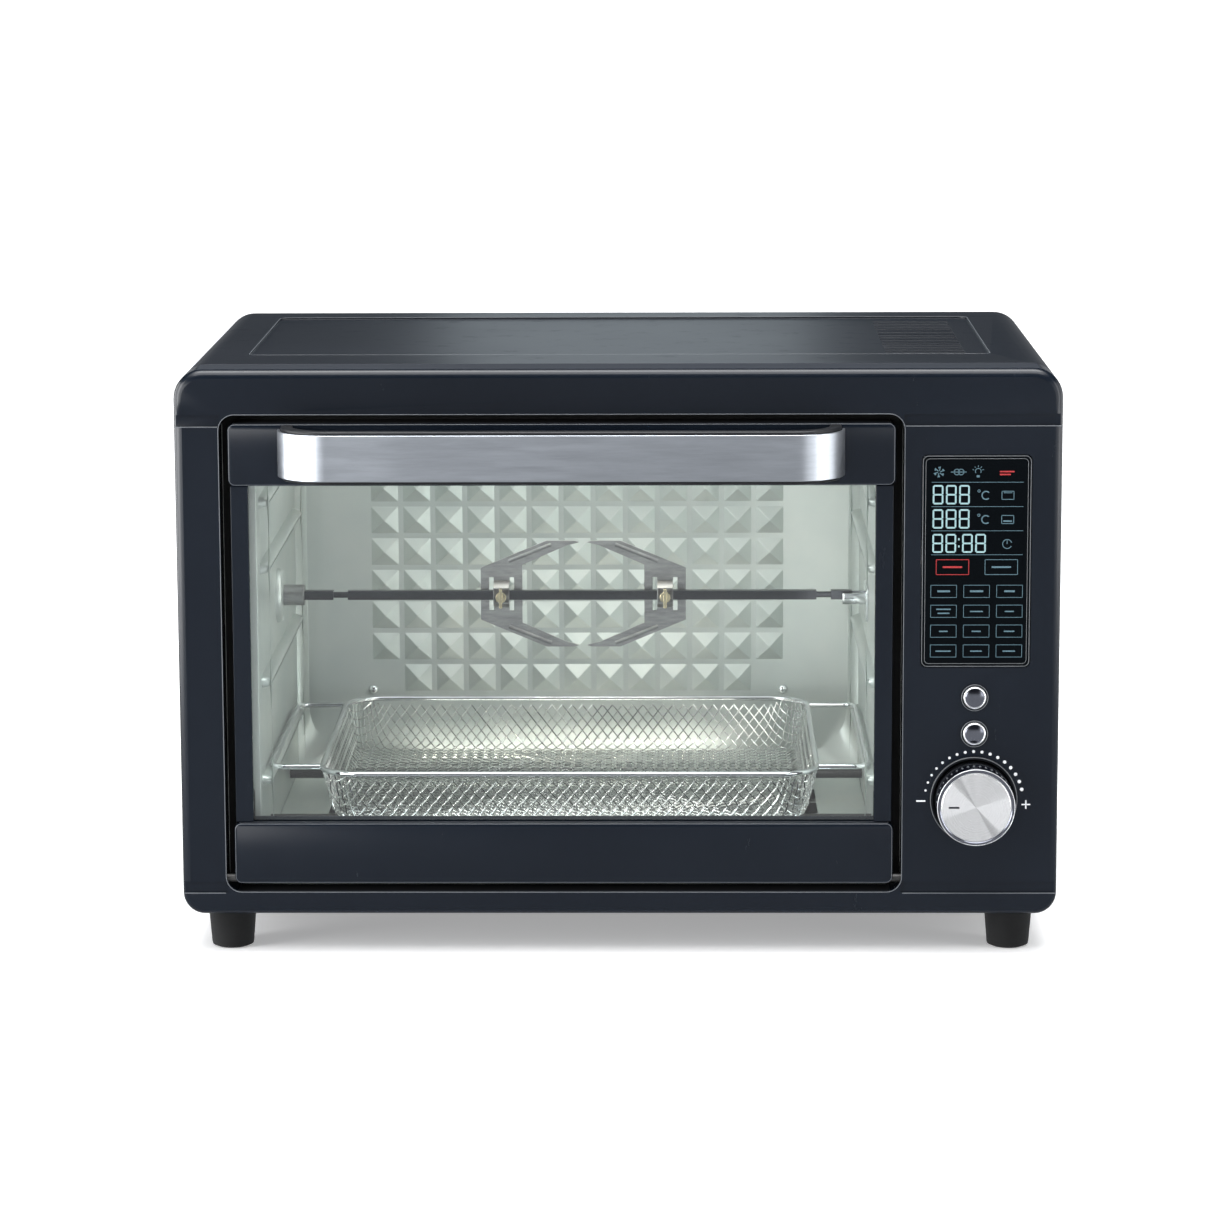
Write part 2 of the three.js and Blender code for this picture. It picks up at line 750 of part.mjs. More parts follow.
const backScrew = { inset: 49, rise: 51, shank: 1.5 };
const backScrewPlaces = () =>
  [cavityLeft + backScrew.inset, cavityRight - backScrew.inset].map((x) => [x, cavityBottom + backScrew.rise]);

function domedScrew(x, z) {
  const head = [
    [0, recessBack - 2.5],
    [2.6, recessBack - 2],
    [3.4, recessBack - gap],
  ];
  const shank = [
    [backScrew.shank, recessBack - gap],
    [backScrew.shank, recessBack + 3],
    [0, recessBack + 3],
  ];
  return turnedY([...head, ...shank], x, z, 14);
}

const frameMargin = 6; // how far the mouth's frame reaches past the opening

// A sheet ring that joins the cavity's mouth to the fascia's jamb.
function cavityFrontFrame() {
  const front = jambDepth + gap;
  return cut(
    box(
      [openingLeft - frameMargin, front, openingBottom - frameMargin],
      [openingRight + frameMargin, cavityFront, openingTop + frameMargin + cavityAboveOpening],
    ),
    box([cavityLeft, front - 1, cavityBottom], [cavityRight, cavityFront + 1, openingTop - 8]),
  );
}

// ---- Heat, light and air -----------------------------------------------------------------------------
function heaterPlaces() {
  const front = spitY - heaterInset;
  const rear = spitY + heaterInset;
  return [
    { name: "heater_upper_front", y: front, z: upperHeaterZ },
    { name: "heater_upper_rear", y: rear, z: upperHeaterZ },
    { name: "heater_lower_front", y: front, z: lowerHeaterZ },
    { name: "heater_lower_rear", y: rear, z: lowerHeaterZ },
  ];
}

// A sheathed rod through both side walls, with a wider end outside each wall.
function heater(y, z) {
  const reach = 9;
  const left = cavityLeft - sheet - gap;
  const right = cavityRight + sheet + gap;
  return join(
    rodX(left - reach, right + reach, y, z, heaterRadius, 10),
    rodX(left - 6, left, y, z, heaterRadius + 2, 10),
    rodX(right, right + 6, y, z, heaterRadius + 2, 10),
  );
}

const fanFace = cavityRight + sheet + 5;

// A flat wheel with bent blades, on the motor's shaft.
function fanBlade() {
  const blades = [];
  const count = 6;
  for (let i = 0; i < count; i++) {
    const blade = box([-3.5, -0.8, fan.hub - 3], [3.5, 0.8, fan.radius - 5]).rotateZ(0.6);
    blades.push(blade.rotateX((i * 2 * Math.PI) / count).translate(fanFace + 4, fan.y, fan.z));
  }
  return cut(
    join(rodX(fanFace, fanFace + 8, fan.y, fan.z, fan.hub, 18), ...blades),
    rodX(fanFace + 2, fanFace + 9, fan.y, fan.z, 2 + gap, 12),
  );
}

function fanMotor() {
  return join(
    rodX(fanFace + 4, fanFace + 16, fan.y, fan.z, 2, 12),
    rodX(fanFace + 13, fanFace + 36, fan.y, fan.z, 24, 24),
  );
}

function lampHolder() {
  const start = cavityRight + sheet + gap;
  return cut(
    rodX(start, start + 40, lamp.y, lamp.z, lamp.radius, 24),
    rodX(start - 1, start + 32, lamp.y, lamp.z, lamp.radius - 2, 24),
  );
}

function lampBulb() {
  const x = cavityRight + sheet + gap + 31;
  const profile = [[0, 0], [5, 0], [5, 8], [8, 13], [9, 18], [7, 23], [0, 26]];
  return new THREE.LatheGeometry(profile.map(([radius, y]) => new THREE.Vector2(radius, y)), 16)
    .rotateZ(Math.PI / 2)
    .translate(x, lamp.y, lamp.z);
}

function lampLens() {
  return rodX(cavityRight - 2.4, cavityRight - gap, lamp.y, lamp.z, lamp.radius, 24);
}

// ---- Rotisserie --------------------------------------------------------------------------------------
const socketFace = cavityLeft + socketReach;
const socketBack = cavityLeft - sheet - 4;
const rodStart = socketFace - 8;
const rodEnd = cavityRight - 10;

// The socket turns with the spit, and its back end holds the motor's shaft.
function driveSocket() {
  const half = rodSize / 2 + gap;
  return cut(
    rodX(socketBack, socketFace, spitY, spitZ, socketRadius, 20),
    box([rodStart - gap, spitY - half, spitZ - half], [socketFace + 1, spitY + half, spitZ + half]),
    rodX(socketBack - 1, socketBack + 6, spitY, spitZ, 2.5 + gap, 12),
  );
}

function rotisserieMotor() {
  return join(
    rodX(socketBack - 4, socketBack + 5, spitY, spitZ, 2.5, 12),
    rodX(socketBack - 20, socketBack - gap, spitY, spitZ, 24, 24),
  );
}

// A square rod with a turned-down neck near each end.
function spitRod() {
  const half = rodSize / 2;
  const neck = 9;
  const length = (a, b) => box([a, spitY - half, spitZ - half], [b, spitY + half, spitZ + half]);
  const leftNeck = socketFace + 18;
  const rightNeck = rodEnd - 22;
  return join(
    length(rodStart, leftNeck),
    length(leftNeck + neck, rightNeck),
    length(rightNeck + neck, rodEnd),
    rodX(leftNeck - 1, leftNeck + neck + 1, spitY, spitZ, 1.9, 12),
    rodX(rightNeck - 1, rightNeck + neck + 1, spitY, spitZ, 1.9, 12),
  );
}

// A cradle on the right wall: the rod's right end lies in its open top.
function spitHook() {
  const clear = rodSize * Math.SQRT1_2 + 0.6;
  const back = cavityRight - gap;
  return cut(
    join(
      box([back - 1.5, spitY - 12, spitZ - 16], [back, spitY + 12, spitZ + 8]),
      box([rodEnd - 6, spitY - 8, spitZ - 13], [back - 1, spitY + 8, spitZ + 2]),
    ),
    rodX(rodEnd - 9, rodEnd + 2, spitY, spitZ, clear, 20),
    box([rodEnd - 9, spitY - clear, spitZ], [rodEnd + 2, spitY + clear, spitZ + 9]),
  );
}

// One fork in the plane of the spit: a slotted plate whose two prongs reach towards the other fork.
function forkPlate(side) {
  const outer = forkMiddleX + side * (forkSpan / 2);
  const inner = outer - side * forkBodyWidth;
  const tip = forkMiddleX + side * (forkTipGap / 2);
  const bend = outer - side * 41;
  const half = [
    [outer, forkBodyHalf],
    [bend, forkTipHalf],
    [tip + side * 3, forkTipHalf],
    [tip, forkTipHalf - 1],
    [tip + side * 8, forkTipHalf - 3],
    [inner, forkBodyHalf + 2],
  ];
  const outline = new THREE.Shape();
  outline.moveTo(outer, -forkBodyHalf);
  half.forEach(([x, z]) => outline.lineTo(x, z));
  [...half].reverse().forEach(([x, z]) => outline.lineTo(x, -z));
  const plateFront = spitY + rodSize / 2 + 0.4;
  const plate = throughY(outline, plateFront, plateFront + forkSheet).translate(0, 0, spitZ);
  const middle = (outer + inner) / 2;
  const halfRod = rodSize / 2 + 0.4;
  const collar = cut(
    box(
      [middle - collarWidth / 2, spitY - halfRod - 1.6, spitZ - halfRod - 1.8],
      [middle + collarWidth / 2, plateFront + 0.8, spitZ + halfRod + 1.8],
    ),
    box(
      [middle - collarWidth, spitY - halfRod, spitZ - halfRod],
      [middle + collarWidth, plateFront, spitZ + halfRod],
    ),
    rodY(spitY - 9, spitY, middle, spitZ, screwRadius + gap, 12),
  );
  const slits = [-1, 1].map((end) => {
    const x = middle + (end * (collarWidth + slitWidth)) / 2;
    return box(
      [x - slitWidth / 2, plateFront - 1, spitZ - slitHeight / 2],
      [x + slitWidth / 2, plateFront + forkSheet + 1, spitZ + slitHeight / 2],
    );
  });
  return { geometry: join(cut(plate, ...slits), collar), middle };
}

const screwRadius = 1.9;

// A thumb screw from the front: its tip meets the rod, and its wing is turned by hand.
function thumbScrew(middle) {
  const tip = spitY - rodSize / 2 - gap;
  const head = tip - 6;
  return join(
    rodY(head, tip, middle, spitZ, screwRadius, 12),
    rodY(head - 3, head, middle, spitZ, 3.4, 14),
    box([middle - 1, head - 8, spitZ - 6], [middle + 1, head - 2, spitZ + 6]),
  );
}

// ---- Basket ------------------------------------------------------------------------------------------
const basketOutline = (inset, corner) =>
  roundedRectangle(
    [basketLeft + inset, basketFront + inset],
    [basketRight - inset, basketBack - inset],
    Math.max(corner - inset, 4),
  );

// An open tray that narrows towards its floor.
function basketMesh() {
  const top = basketRimZ - rimRadius - gap;
  const height = top - basketFloorZ;
  const tray = (inset, floor) => {
    const shape = basketOutline(basketTaper + inset, basketCorner);
    return new THREE.ExtrudeGeometry(shape, {
      depth: 10,
      bevelThickness: height,
      bevelSize: basketTaper - rimRadius,
      bevelSegments: 1,
      curveSegments: 5,
    }).translate(0, 0, floor + height);
  };
  const keep = box([basketLeft - 9, basketFront - 9, 0], [basketRight + 9, basketBack + 9, top]);
  return common(cut(tray(0, basketFloorZ), tray(basketWall, basketFloorZ + basketWall)), keep);
}

// A flat band of wire thickness between two rounded outlines, level with the rim.
function wireBand([x0, y0], [x1, y1], corner) {
  const width = 2 * rimRadius;
  const low = basketRimZ - rimRadius;
  const outer = roundedRectangle([x0, y0], [x1, y1], corner);
  const inner = roundedRectangle([x0 + width, y0 + width], [x1 - width, y1 - width], corner - width);
  return cut(upZ(outer, low, low + width, 5), upZ(inner, low - 1, low + width + 1, 5));
}

// The welded wire frame: a rim round the mesh, and a wing on each side that rests on the walls' rails.
function basketFrame() {
  const wingCorner = 9;
  const wings = wireBand(
    [cavityLeft + wallClearance, basketFront + wingInset],
    [cavityRight - wallClearance, basketBack - wingInset],
    wingCorner,
  );
  const inside = upZ(basketOutline(rimRadius, basketCorner), 0, basketRimZ + 9, 5);
  const rim = wireBand([basketLeft, basketFront], [basketRight, basketBack], basketCorner);
  return join(rim, cut(wings, inside));
}

// ---- Feet, gland and boards --------------------------------------------------------------------------
function foot(x, y) {
  const top = footHeight - gap;
  const profile = [[0, 0], [footTipRadius - 1, 0], [footTipRadius, 1], [footRadius, top], [0, top]];
  const points = profile.map(([radius, height]) => new THREE.Vector2(radius, height));
  return new THREE.LatheGeometry(points, 24).rotateX(Math.PI / 2).translate(x, y, -footHeight);
}

// A short bush in the rear cover for the mains lead.
function cordGland() {
  const back = bodyDepth + glandReach;
  return cut(
    join(
      rodY(bodyDepth - 8, back - 1, gland.x, gland.z, gland.neckRadius, 20),
      rodY(bodyDepth + gap, back, gland.x, gland.z, gland.neckRadius + gland.flange, 20),
    ),
    rodY(bodyDepth - 9, back + 1, gland.x, gland.z, gland.bore, 16),
  );
}

function powerBoard() {
  const right = halfBody - 10;
  const low = cavityBottom - 8;
  return box([right - 80, 60, low], [right, 180, low + boardThickness]);
}

// ---- Assembly ----------------------------------------------------------------------------------------
piece("outer_cover", outerCover(), "navySheet");
piece("base_pan", basePan(), "navySheet");
piece("rear_cover", rearCover(), "navySheet");
piece("front_fascia", frontFascia(), "navy");
const footX = halfBody - footInsetX;
const footRows = { front: footInsetFront, rear: bodyDepth - footInsetRear };
for (const [row, y] of Object.entries(footRows)) {
  piece(`foot_${row}_left`, foot(-footX, y), "rubber");
  piece(`foot_${row}_right`, foot(footX, y), "rubber");
}
piece("cord_gland", cordGland(), "blackPlastic");

piece("cavity_left_wall", leftWall(), "enamel");
piece("cavity_right_wall", rightWall(), "enamel");
piece("cavity_top", cavityTopPlate(), "enamel");
piece("cavity_floor", cavityFloor(), "enamel");
piece("cavity_back", cavityBackPan(), "enamel");
piece("cavity_front_frame", cavityFrontFrame(), "enamel");
backScrewPlaces().forEach(([x, z], i) =>
  piece(`back_screw_${i ? "right" : "left"}`, domedScrew(x, z), "chrome"),
);
heaterPlaces().forEach(({ name, y, z }) => piece(name, heater(y, z), "darkSteel"));
piece("fan_blade", fanBlade(), "steel");
piece("fan_motor", fanMotor(), "darkSteel");
piece("lamp_holder", lampHolder(), "steel");
piece("lamp_bulb", lampBulb(), "glass");
piece("lamp_lens", lampLens(), "glass");

piece("door_top_rail", doorTopRail(), "navy");
piece("door_bottom_rail", doorBottomRail(), "navy");
piece("door_left_stile", doorStile("left"), "navy");
piece("door_right_stile", doorStile("right"), "navy");
piece(
  "door_glass",
  box([doorLeft + 1.5 + gap, glassInset, glassBottom], [doorRight - 1.5 - gap, glassBack, glassTop]),
  "glass",
);
hingePins().forEach(({ side, outer, inner }) =>
  piece(`hinge_pin_${side}`, rodX(outer, inner, hingePinY, hingeZ, hingePinRadius), "chrome"),
);
piece("handle_backing", handleBow(stripThickness + gap, handleWall, -gap, handleHeight), "blackPlastic");
piece("handle_strip", handleBow(0, stripThickness, -4, stripHeight), "steel");

piece("display_window", displayWindow(), "glass");
piece("display_board", displayBoard(), "board");
piece("power_board", powerBoard(), "board");
["upper", "lower"].forEach((row, i) => {
  piece(`button_bezel_${row}`, buttonBezel(buttonHeights[i]), "blackPlastic");
  piece(`button_${row}`, button(buttonHeights[i]), "chrome");
});
piece("knob_well", knobWell(), "blackPlastic");
piece("knob_skirt", knobSkirt(), "steel");
piece("knob_disc", knobDisc(), "steel");
piece("knob_shaft", knobShaft(), "steel");
piece("encoder_plunger", encoderPlunger(), "blackPlastic");
piece("encoder_body", encoderBody(), "darkSteel");

piece("rotisserie_motor", rotisserieMotor(), "darkSteel");
piece("drive_socket", driveSocket(), "steel");
piece("spit_rod", spitRod(), "darkSteel");
piece("spit_hook", spitHook(), "steel");
for (const [name, side] of [["left", -1], ["right", 1]]) {
  const { geometry, middle } = forkPlate(side);
  piece(`fork_${name}`, geometry, "steel");
  piece(`thumb_screw_${name}`, thumbScrew(middle), "brass");
}

piece("basket_mesh", basketMesh(), "chrome");
piece("basket_frame", basketFrame(), "chrome");

// The handle reaches furthest forward and the gland furthest back.
oven.position.set(0, (handleReach - bodyDepth - glandReach) / 2, footHeight);

const group = new THREE.Group();
group.add(oven);
export default group;
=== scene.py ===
"""Looks of a countertop rotisserie oven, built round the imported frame.

The scene is in metres in the row frame: +Z up, and the oven's front faces -Y. Shapes are drawn in the
oven's own millimetres, with X to the right, Y back from the fascia's face and Z up from the underside
of the body, and piece() carries them into the row frame.
"""

import math

import bmesh
import bpy
from mathutils import Matrix, Vector


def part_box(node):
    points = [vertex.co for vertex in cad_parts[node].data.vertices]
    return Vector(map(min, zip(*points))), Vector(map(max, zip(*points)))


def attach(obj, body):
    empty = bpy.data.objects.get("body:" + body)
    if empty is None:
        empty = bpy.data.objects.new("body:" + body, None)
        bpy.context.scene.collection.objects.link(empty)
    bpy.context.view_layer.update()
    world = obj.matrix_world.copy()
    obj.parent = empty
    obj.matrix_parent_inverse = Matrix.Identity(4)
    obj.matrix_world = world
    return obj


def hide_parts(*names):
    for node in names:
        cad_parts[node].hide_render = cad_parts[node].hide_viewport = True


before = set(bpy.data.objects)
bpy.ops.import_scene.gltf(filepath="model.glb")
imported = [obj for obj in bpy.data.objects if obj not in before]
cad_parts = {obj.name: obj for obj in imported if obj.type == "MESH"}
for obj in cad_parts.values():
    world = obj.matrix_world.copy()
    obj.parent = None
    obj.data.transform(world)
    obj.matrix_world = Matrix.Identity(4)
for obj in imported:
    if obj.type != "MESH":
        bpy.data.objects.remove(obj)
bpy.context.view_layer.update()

MM = 0.001
FRONT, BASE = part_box("front_fascia")[0].yz
TO_ROW = Matrix.Translation((0, FRONT, BASE)) @ Matrix.Scale(MM, 4)
AXES = {"X": (1, 2), "Y": (0, 2), "Z": (0, 1)}  # the two directions across each axis


def span(node):
    """A CAD node's lowest and highest corners in the oven's millimetres."""
    return [TO_ROW.inverted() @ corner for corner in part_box(node)]


def middle(node):
    low, high = span(node)
    return (low + high) / 2


# ---- Materials
class Value:
    """A socket in a material, so that shader maths reads as an expression."""

    def __init__(self, finish, socket):
        self.finish, self.socket = finish, socket

    def math(self, operation, *values):
        return self.finish.node("Math", {"operation": operation}, values)

    def __add__(self, other):
        return self.math("ADD", self, other)

    def __radd__(self, other):
        return self.math("ADD", other, self)

    def __sub__(self, other):
        return self.math("SUBTRACT", self, other)

    def __rsub__(self, other):
        return self.math("SUBTRACT", other, self)

    def __mul__(self, other):
        return self.math("MULTIPLY", self, other)

    def __rmul__(self, other):
        return self.math("MULTIPLY", other, self)

    def above(self, edge, soft):
        """0 under the edge, 1 over it, with a soft step between."""
        settings = {"interpolation_type": "SMOOTHSTEP"}
        return self.finish.node("MapRange", settings, {0: self, 1: edge - soft, 2: edge + soft})

    def output(self, name):
        """Another output of the same node."""
        return Value(self.finish, self.socket.node.outputs[name])


class Nodes:
    """A shader node tree, and what makes and feeds its nodes."""

    def __init__(self, tree):
        self.tree = tree

    def node(self, kind, settings=None, values=(), output=0):
        made = self.tree.nodes.new("ShaderNode" + kind)
        for key, value in (settings or {}).items():
            setattr(made, key, value)
        pairs = values.items() if isinstance(values, dict) else enumerate(values)
        for key, value in pairs:
            self.feed(made.inputs[key], value)
        return Value(self, made.outputs[output])

    def feed(self, socket, value):
        if isinstance(value, Value):
            self.tree.links.new(value.socket, socket)
        else:
            socket.default_value = value

    def mix(self, factor, low, high):
        return self.node("Mix", {"data_type": "RGBA"}, {0: factor, 6: low, 7: high}, 2)


class Finish(Nodes):
    """One procedural material: a Principled shader and the nodes that feed it."""

    def __init__(self, name, **constants):
        self.material = bpy.data.materials.new(name)
        self.material.use_nodes = True
        super().__init__(self.material.node_tree)
        self.shader = self.tree.nodes["Principled BSDF"]
        self.surface = self.tree.nodes["Material Output"].inputs["Surface"]
        for socket, value in constants.items():
            self.shader.inputs[socket.replace("_", " ")].default_value = value

    def set(self, **sockets):
        for socket, value in sockets.items():
            self.feed(self.shader.inputs[socket.replace("_", " ")], value)
        return self

    def place(self, stretch=(1, 1, 1), centre=(0, 0, 0)):
        """Object coordinates, moved to a centre and stretched."""
        here = self.node("TexCoord", output=3)
        moved = self.node("VectorMath", {"operation": "SUBTRACT"}, [here, centre])
        return self.node("VectorMath", {"operation": "MULTIPLY"}, [moved, stretch])

    def noise(self, scale, detail=3, stretch=(1, 1, 1), rough=0.5):
        values = {"Vector": self.place(stretch), "Scale": scale, "Detail": detail, "Roughness": rough}
        return self.node("TexNoise", None, values)

    def ripple(self, value, scale, detail):
        """Noise that changes along one value."""
        values = {"W": value, "Scale": scale, "Detail": detail}
        return self.node("TexNoise", {"noise_dimensions": "1D"}, values)

    def bump(self, height, strength, distance):
        values = {"Strength": strength, "Distance": distance, "Height": height}
        return self.node("Bump", None, values)


def rgb(red, green, blue):
    return (red, green, blue, 1)


def dimmed(color, share):
    """A share of a colour."""
    return rgb(*(share * part for part in color[:3]))


def painted(name, dark, light, rough, peel, specular, matt_top=0.0):
    """Sprayed paint or moulded gloss: orange peel, soft cloudiness, faint rubs and a duller top."""
    finish = Finish(name, Specular_IOR_Level=specular)
    facing = finish.node("NewGeometry", output="Normal")
    upward = finish.node("SeparateXYZ", None, [facing], "Z")
    cloud = finish.noise(9, 4)
    rubs = finish.noise(60, 6, (1, 1, 0.25), 0.7).above(0.62, 0.08)
    grain = finish.noise(900, 2)
    return finish.set(
        Base_Color=finish.mix(cloud.above(0.5, 0.3), dark, light),
        Roughness=rough + 0.06 * cloud + 0.05 * rubs + matt_top * upward.above(0.97, 0.02),
        Normal=finish.bump(grain, peel, 0.0002),
    )


def brushed(name, color, rough, stretch, metallic=1.0, depth=0.25, dip=0.62):
    """Metal with fine parallel brush lines, which dip to a share of its colour."""
    finish = Finish(name, Metallic=metallic)
    lines = finish.noise(120, 5, stretch, 0.75)
    cloud = finish.noise(35, 3, (1, 1, 1))
    return finish.set(
        Base_Color=finish.mix(lines.above(0.5, 0.22), dimmed(color, dip), color),
        Roughness=rough + 0.16 * lines + 0.06 * cloud,
        Normal=finish.bump(lines, depth, 0.0001),
    )


def spun(name, color, centre):
    """Metal turned in a lathe: rings about a line along Y, and fans of painted highlight and painted shade
    across them, drawn into its colour for the sheen of a spun face.
    """
    finish = Finish(name, Metallic=0.85)
    here = finish.place(centre=centre)
    flat = finish.node("VectorMath", {"operation": "MULTIPLY"}, [here, (1, 0, 1)])
    radius = finish.node("VectorMath", {"operation": "LENGTH"}, [flat], "Value")
    rings = finish.ripple(radius * 9000, 1.0, 2)
    across = finish.node("SeparateXYZ", None, [here])
    angle = across.math("ARCTAN2", across.output("Z"), across)
    # Painted highlight and painted shade: bright fans and dark creases in the colour stand in for the sheen
    # of the rings.
    painted_sheen_wedge = angle.math("COSINE", angle * 2 + 0.6).above(0.35, 0.35)
    painted_shade_crease = angle.math("COSINE", angle * 2 + 1.85).above(0.96, 0.05)
    light = 0.5 + 0.5 * painted_sheen_wedge + 0.3 * finish.ripple(angle * 2.2, 1.4, 1) - 0.55 * painted_shade_crease
    return finish.set(
        Base_Color=finish.mix(light, dimmed(color, 0.42), color),
        Roughness=0.2 + 0.14 * rings,
        Normal=finish.bump(rings, 0.2, 0.0001),
    )


def plated(name, color, rough, scratches=0.08):
    """Polished plating with faint scratches and finger marks."""
    finish = Finish(name, Metallic=1.0)
    marks = finish.noise(70, 5, (1, 1, 1), 0.65)
    fine = finish.noise(700, 3)
    return finish.set(
        Base_Color=finish.mix(marks.above(0.55, 0.15), color, dimmed(color, 0.85)),
        Roughness=rough + scratches * marks,
        Normal=finish.bump(fine, 0.06, 0.0001),
    )


def cavity_coat():
    """Aluminised sheet with a grey-green cast, a little stained by heat."""
    finish = Finish("cavity_coat", Metallic=0.55, Specular_IOR_Level=0.6)
    cloud = finish.noise(14, 5, (1, 1, 1), 0.6)
    spangle = finish.node("TexVoronoi", None, {"Vector": finish.place(), "Scale": 260.0})
    fine = finish.noise(500, 2)
    tone = finish.mix(cloud.above(0.5, 0.25), rgb(0.54, 0.59, 0.57), rgb(0.64, 0.67, 0.64))
    stained = finish.mix(cloud.above(0.68, 0.06) * 0.3, tone, rgb(0.55, 0.5, 0.4))
    return finish.set(
        Base_Color=stained,
        Roughness=0.3 + 0.1 * cloud + 0.05 * spangle,
        Normal=finish.bump(fine, 0.12, 0.0002),
    )


def clear_glass(name, tint, shine):
    """A thin pane: light passes straight through, and a share of it is mirrored."""
    finish = Finish(name)
    smears = finish.noise(18, 5, (1, 1, 0.4), 0.6)
    passing = finish.node("BsdfTransparent", None, [finish.mix(smears, tint, rgb(0.99, 1, 0.995))])
    mirror = finish.node("BsdfAnisotropic", None, {"Color": rgb(1, 1, 1), "Roughness": 0.03 + 0.03 * smears})
    pane = finish.node("MixShader", None, [shine + shine * smears, passing, mirror])
    finish.feed(finish.surface, pane)
    return finish


def moulded(name, dark, light, rough, grain, depth):
    """Unpainted plastic or rubber with a fine grain."""
    finish = Finish(name, Specular_IOR_Level=0.2)
    texture = finish.noise(grain, 4, (1, 1, 1), 0.6)
    cloud = finish.noise(30, 3)
    return finish.set(
        Base_Color=finish.mix(cloud.above(0.5, 0.3), dark, light),
        Roughness=rough + 0.15 * texture,
        Normal=finish.bump(texture, depth, 0.0003),
    )


def ink_and_painted_highlight(name, color, glow):
    """Ink, lit symbols and glowing lines that are painted highlights, a little uneven."""
    # The glow is the display's own light on its symbols, and painted light on the ink and on the highlight
    # lines.
    finish = Finish(name, Emission_Strength=glow)
    speckle = finish.noise(1200, 3)
    ink = finish.mix(speckle.above(0.5, 0.2), dimmed(color, 0.8), color)
    return finish.set(Base_Color=ink, Emission_Color=ink, Roughness=0.4 + 0.1 * speckle)


def circuit_board():
    """Green solder mask with copper tracks that run both ways."""
    finish = Finish("circuit_board")
    values = {"Vector": finish.place(), "Scale": 90.0, "Mortar Size": 0.03}
    tracks = finish.node("TexBrick", None, values, "Fac")
    return finish.set(
        Base_Color=finish.mix(tracks, rgb(0.01, 0.09, 0.04), rgb(0.03, 0.2, 0.09)),
        Roughness=0.35 + 0.2 * finish.noise(200),
        Normal=finish.bump(tracks, 0.3, 0.0002),
    )


NAVY_GLOSS = painted("navy_gloss", rgb(0.004, 0.0068, 0.0122), rgb(0.0055, 0.0088, 0.015),
                     0.2, 0.03, 0.24, matt_top=0.65)
NAVY_PAINT = painted("navy_paint", rgb(0.006, 0.0085, 0.013), rgb(0.008, 0.0105, 0.0155), 0.3, 0.08, 0.3)
STEEL = brushed("brushed_steel", rgb(0.41, 0.437, 0.475), 0.22, (0.2, 1, 2.6), depth=0.15, dip=0.86)
FORK_STEEL = brushed("stamped_steel", rgb(0.42, 0.42, 0.42), 0.3, (0.4, 1, 2))
DARK_STEEL = brushed("heat_darkened_steel", rgb(0.04, 0.043, 0.052), 0.2, (0.1, 3, 3), 0.9)
STAMPED = brushed("strap_steel", rgb(0.62, 0.6, 0.57), 0.24, (0.4, 1, 2))
HEATER = brushed("heater_sheath", rgb(0.1, 0.1, 0.1), 0.4, (0.2, 2, 2), 0.8)
SPUN = spun("spun_aluminium", rgb(0.96, 0.965, 0.97), tuple(TO_ROW @ middle("knob_disc")))
CHROME = plated("polished_chrome", rgb(0.78, 0.79, 0.81), 0.06)
SMOKED = plated("smoked_chrome", rgb(0.2, 0.21, 0.245), 0.12)
SATIN = plated("satin_chrome", rgb(0.86, 0.87, 0.89), 0.34)
WIRE = plated("chromed_wire", rgb(0.78, 0.78, 0.77), 0.18)
BRASS = plated("nickelled_brass", rgb(0.62, 0.54, 0.36), 0.22)
COAT = cavity_coat()
GLASS = clear_glass("door_pane", rgb(0.97, 0.99, 0.985), 0.03)
LENS = clear_glass("lamp_glass", rgb(1, 0.96, 0.88), 0.08)
BLACK = moulded("black_plastic", rgb(0.008, 0.009, 0.011), rgb(0.014, 0.015, 0.017), 0.35, 500, 0.1)
RUBBER = moulded("rubber_foot", rgb(0.006, 0.0063, 0.0066), rgb(0.011, 0.0115, 0.012), 0.6, 700, 0.25)
WINDOW = painted("black_window", rgb(0.0015, 0.0024, 0.0034), rgb(0.002, 0.003, 0.004), 0.08, 0.01, 0.04)
BOARD = circuit_board()
MOTOR = brushed("motor_can", rgb(0.3, 0.3, 0.3), 0.35, (1, 1, 1))
LIT = ink_and_painted_highlight("lit_symbol", rgb(0.24, 0.38, 0.4), 0.5)
# A pale grey that glows a little, for the fine beads along rounded edges: painted highlights.
EDGE_HIGHLIGHT = ink_and_painted_highlight("painted_edge_highlight", rgb(0.085, 0.095, 0.108), 0.35)
FAINT = ink_and_painted_highlight("unlit_symbol", rgb(0.06, 0.12, 0.15), 0.6)
RED = ink_and_painted_highlight("red_symbol", rgb(0.32, 0.012, 0.015), 0.6)
# A pale grey that glows a little, for fine lines round the display pane, the button bezels and the knob's
# well: painted highlights on their edges.
RIM_HIGHLIGHT = ink_and_painted_highlight("painted_rim_highlight", rgb(0.12, 0.13, 0.14), 0.35)
# White ink whose faint glow is painted light.
WHITE = ink_and_painted_highlight("white_print", rgb(0.8, 0.82, 0.84), 0.12)


# ---- Shapes
def point(axis, level, u, v):
    """A point at a level on an axis, u and v along the two directions across it."""
    co = [level] * 3
    co[AXES[axis][0]], co[AXES[axis][1]] = u, v
    return co


def rounded(low, high, corner, steps=6):
    """Points round a rectangle, anticlockwise, with one corner radius or four from the lower left."""
    radii = corner if isinstance(corner, (tuple, list)) else (corner,) * 4
    points = []
    for i, (right, top) in enumerate(((0, 0), (1, 0), (1, 1), (0, 1))):
        r = radii[i]
        u = high[0] - r if right else low[0] + r
        v = high[1] - r if top else low[1] + r
        for k in range(steps + 1 if r else 1):
            angle = math.pi * (1 + i / 2 + k / steps / 2)
            points.append((u + r * math.cos(angle), v + r * math.sin(angle)))
    return points


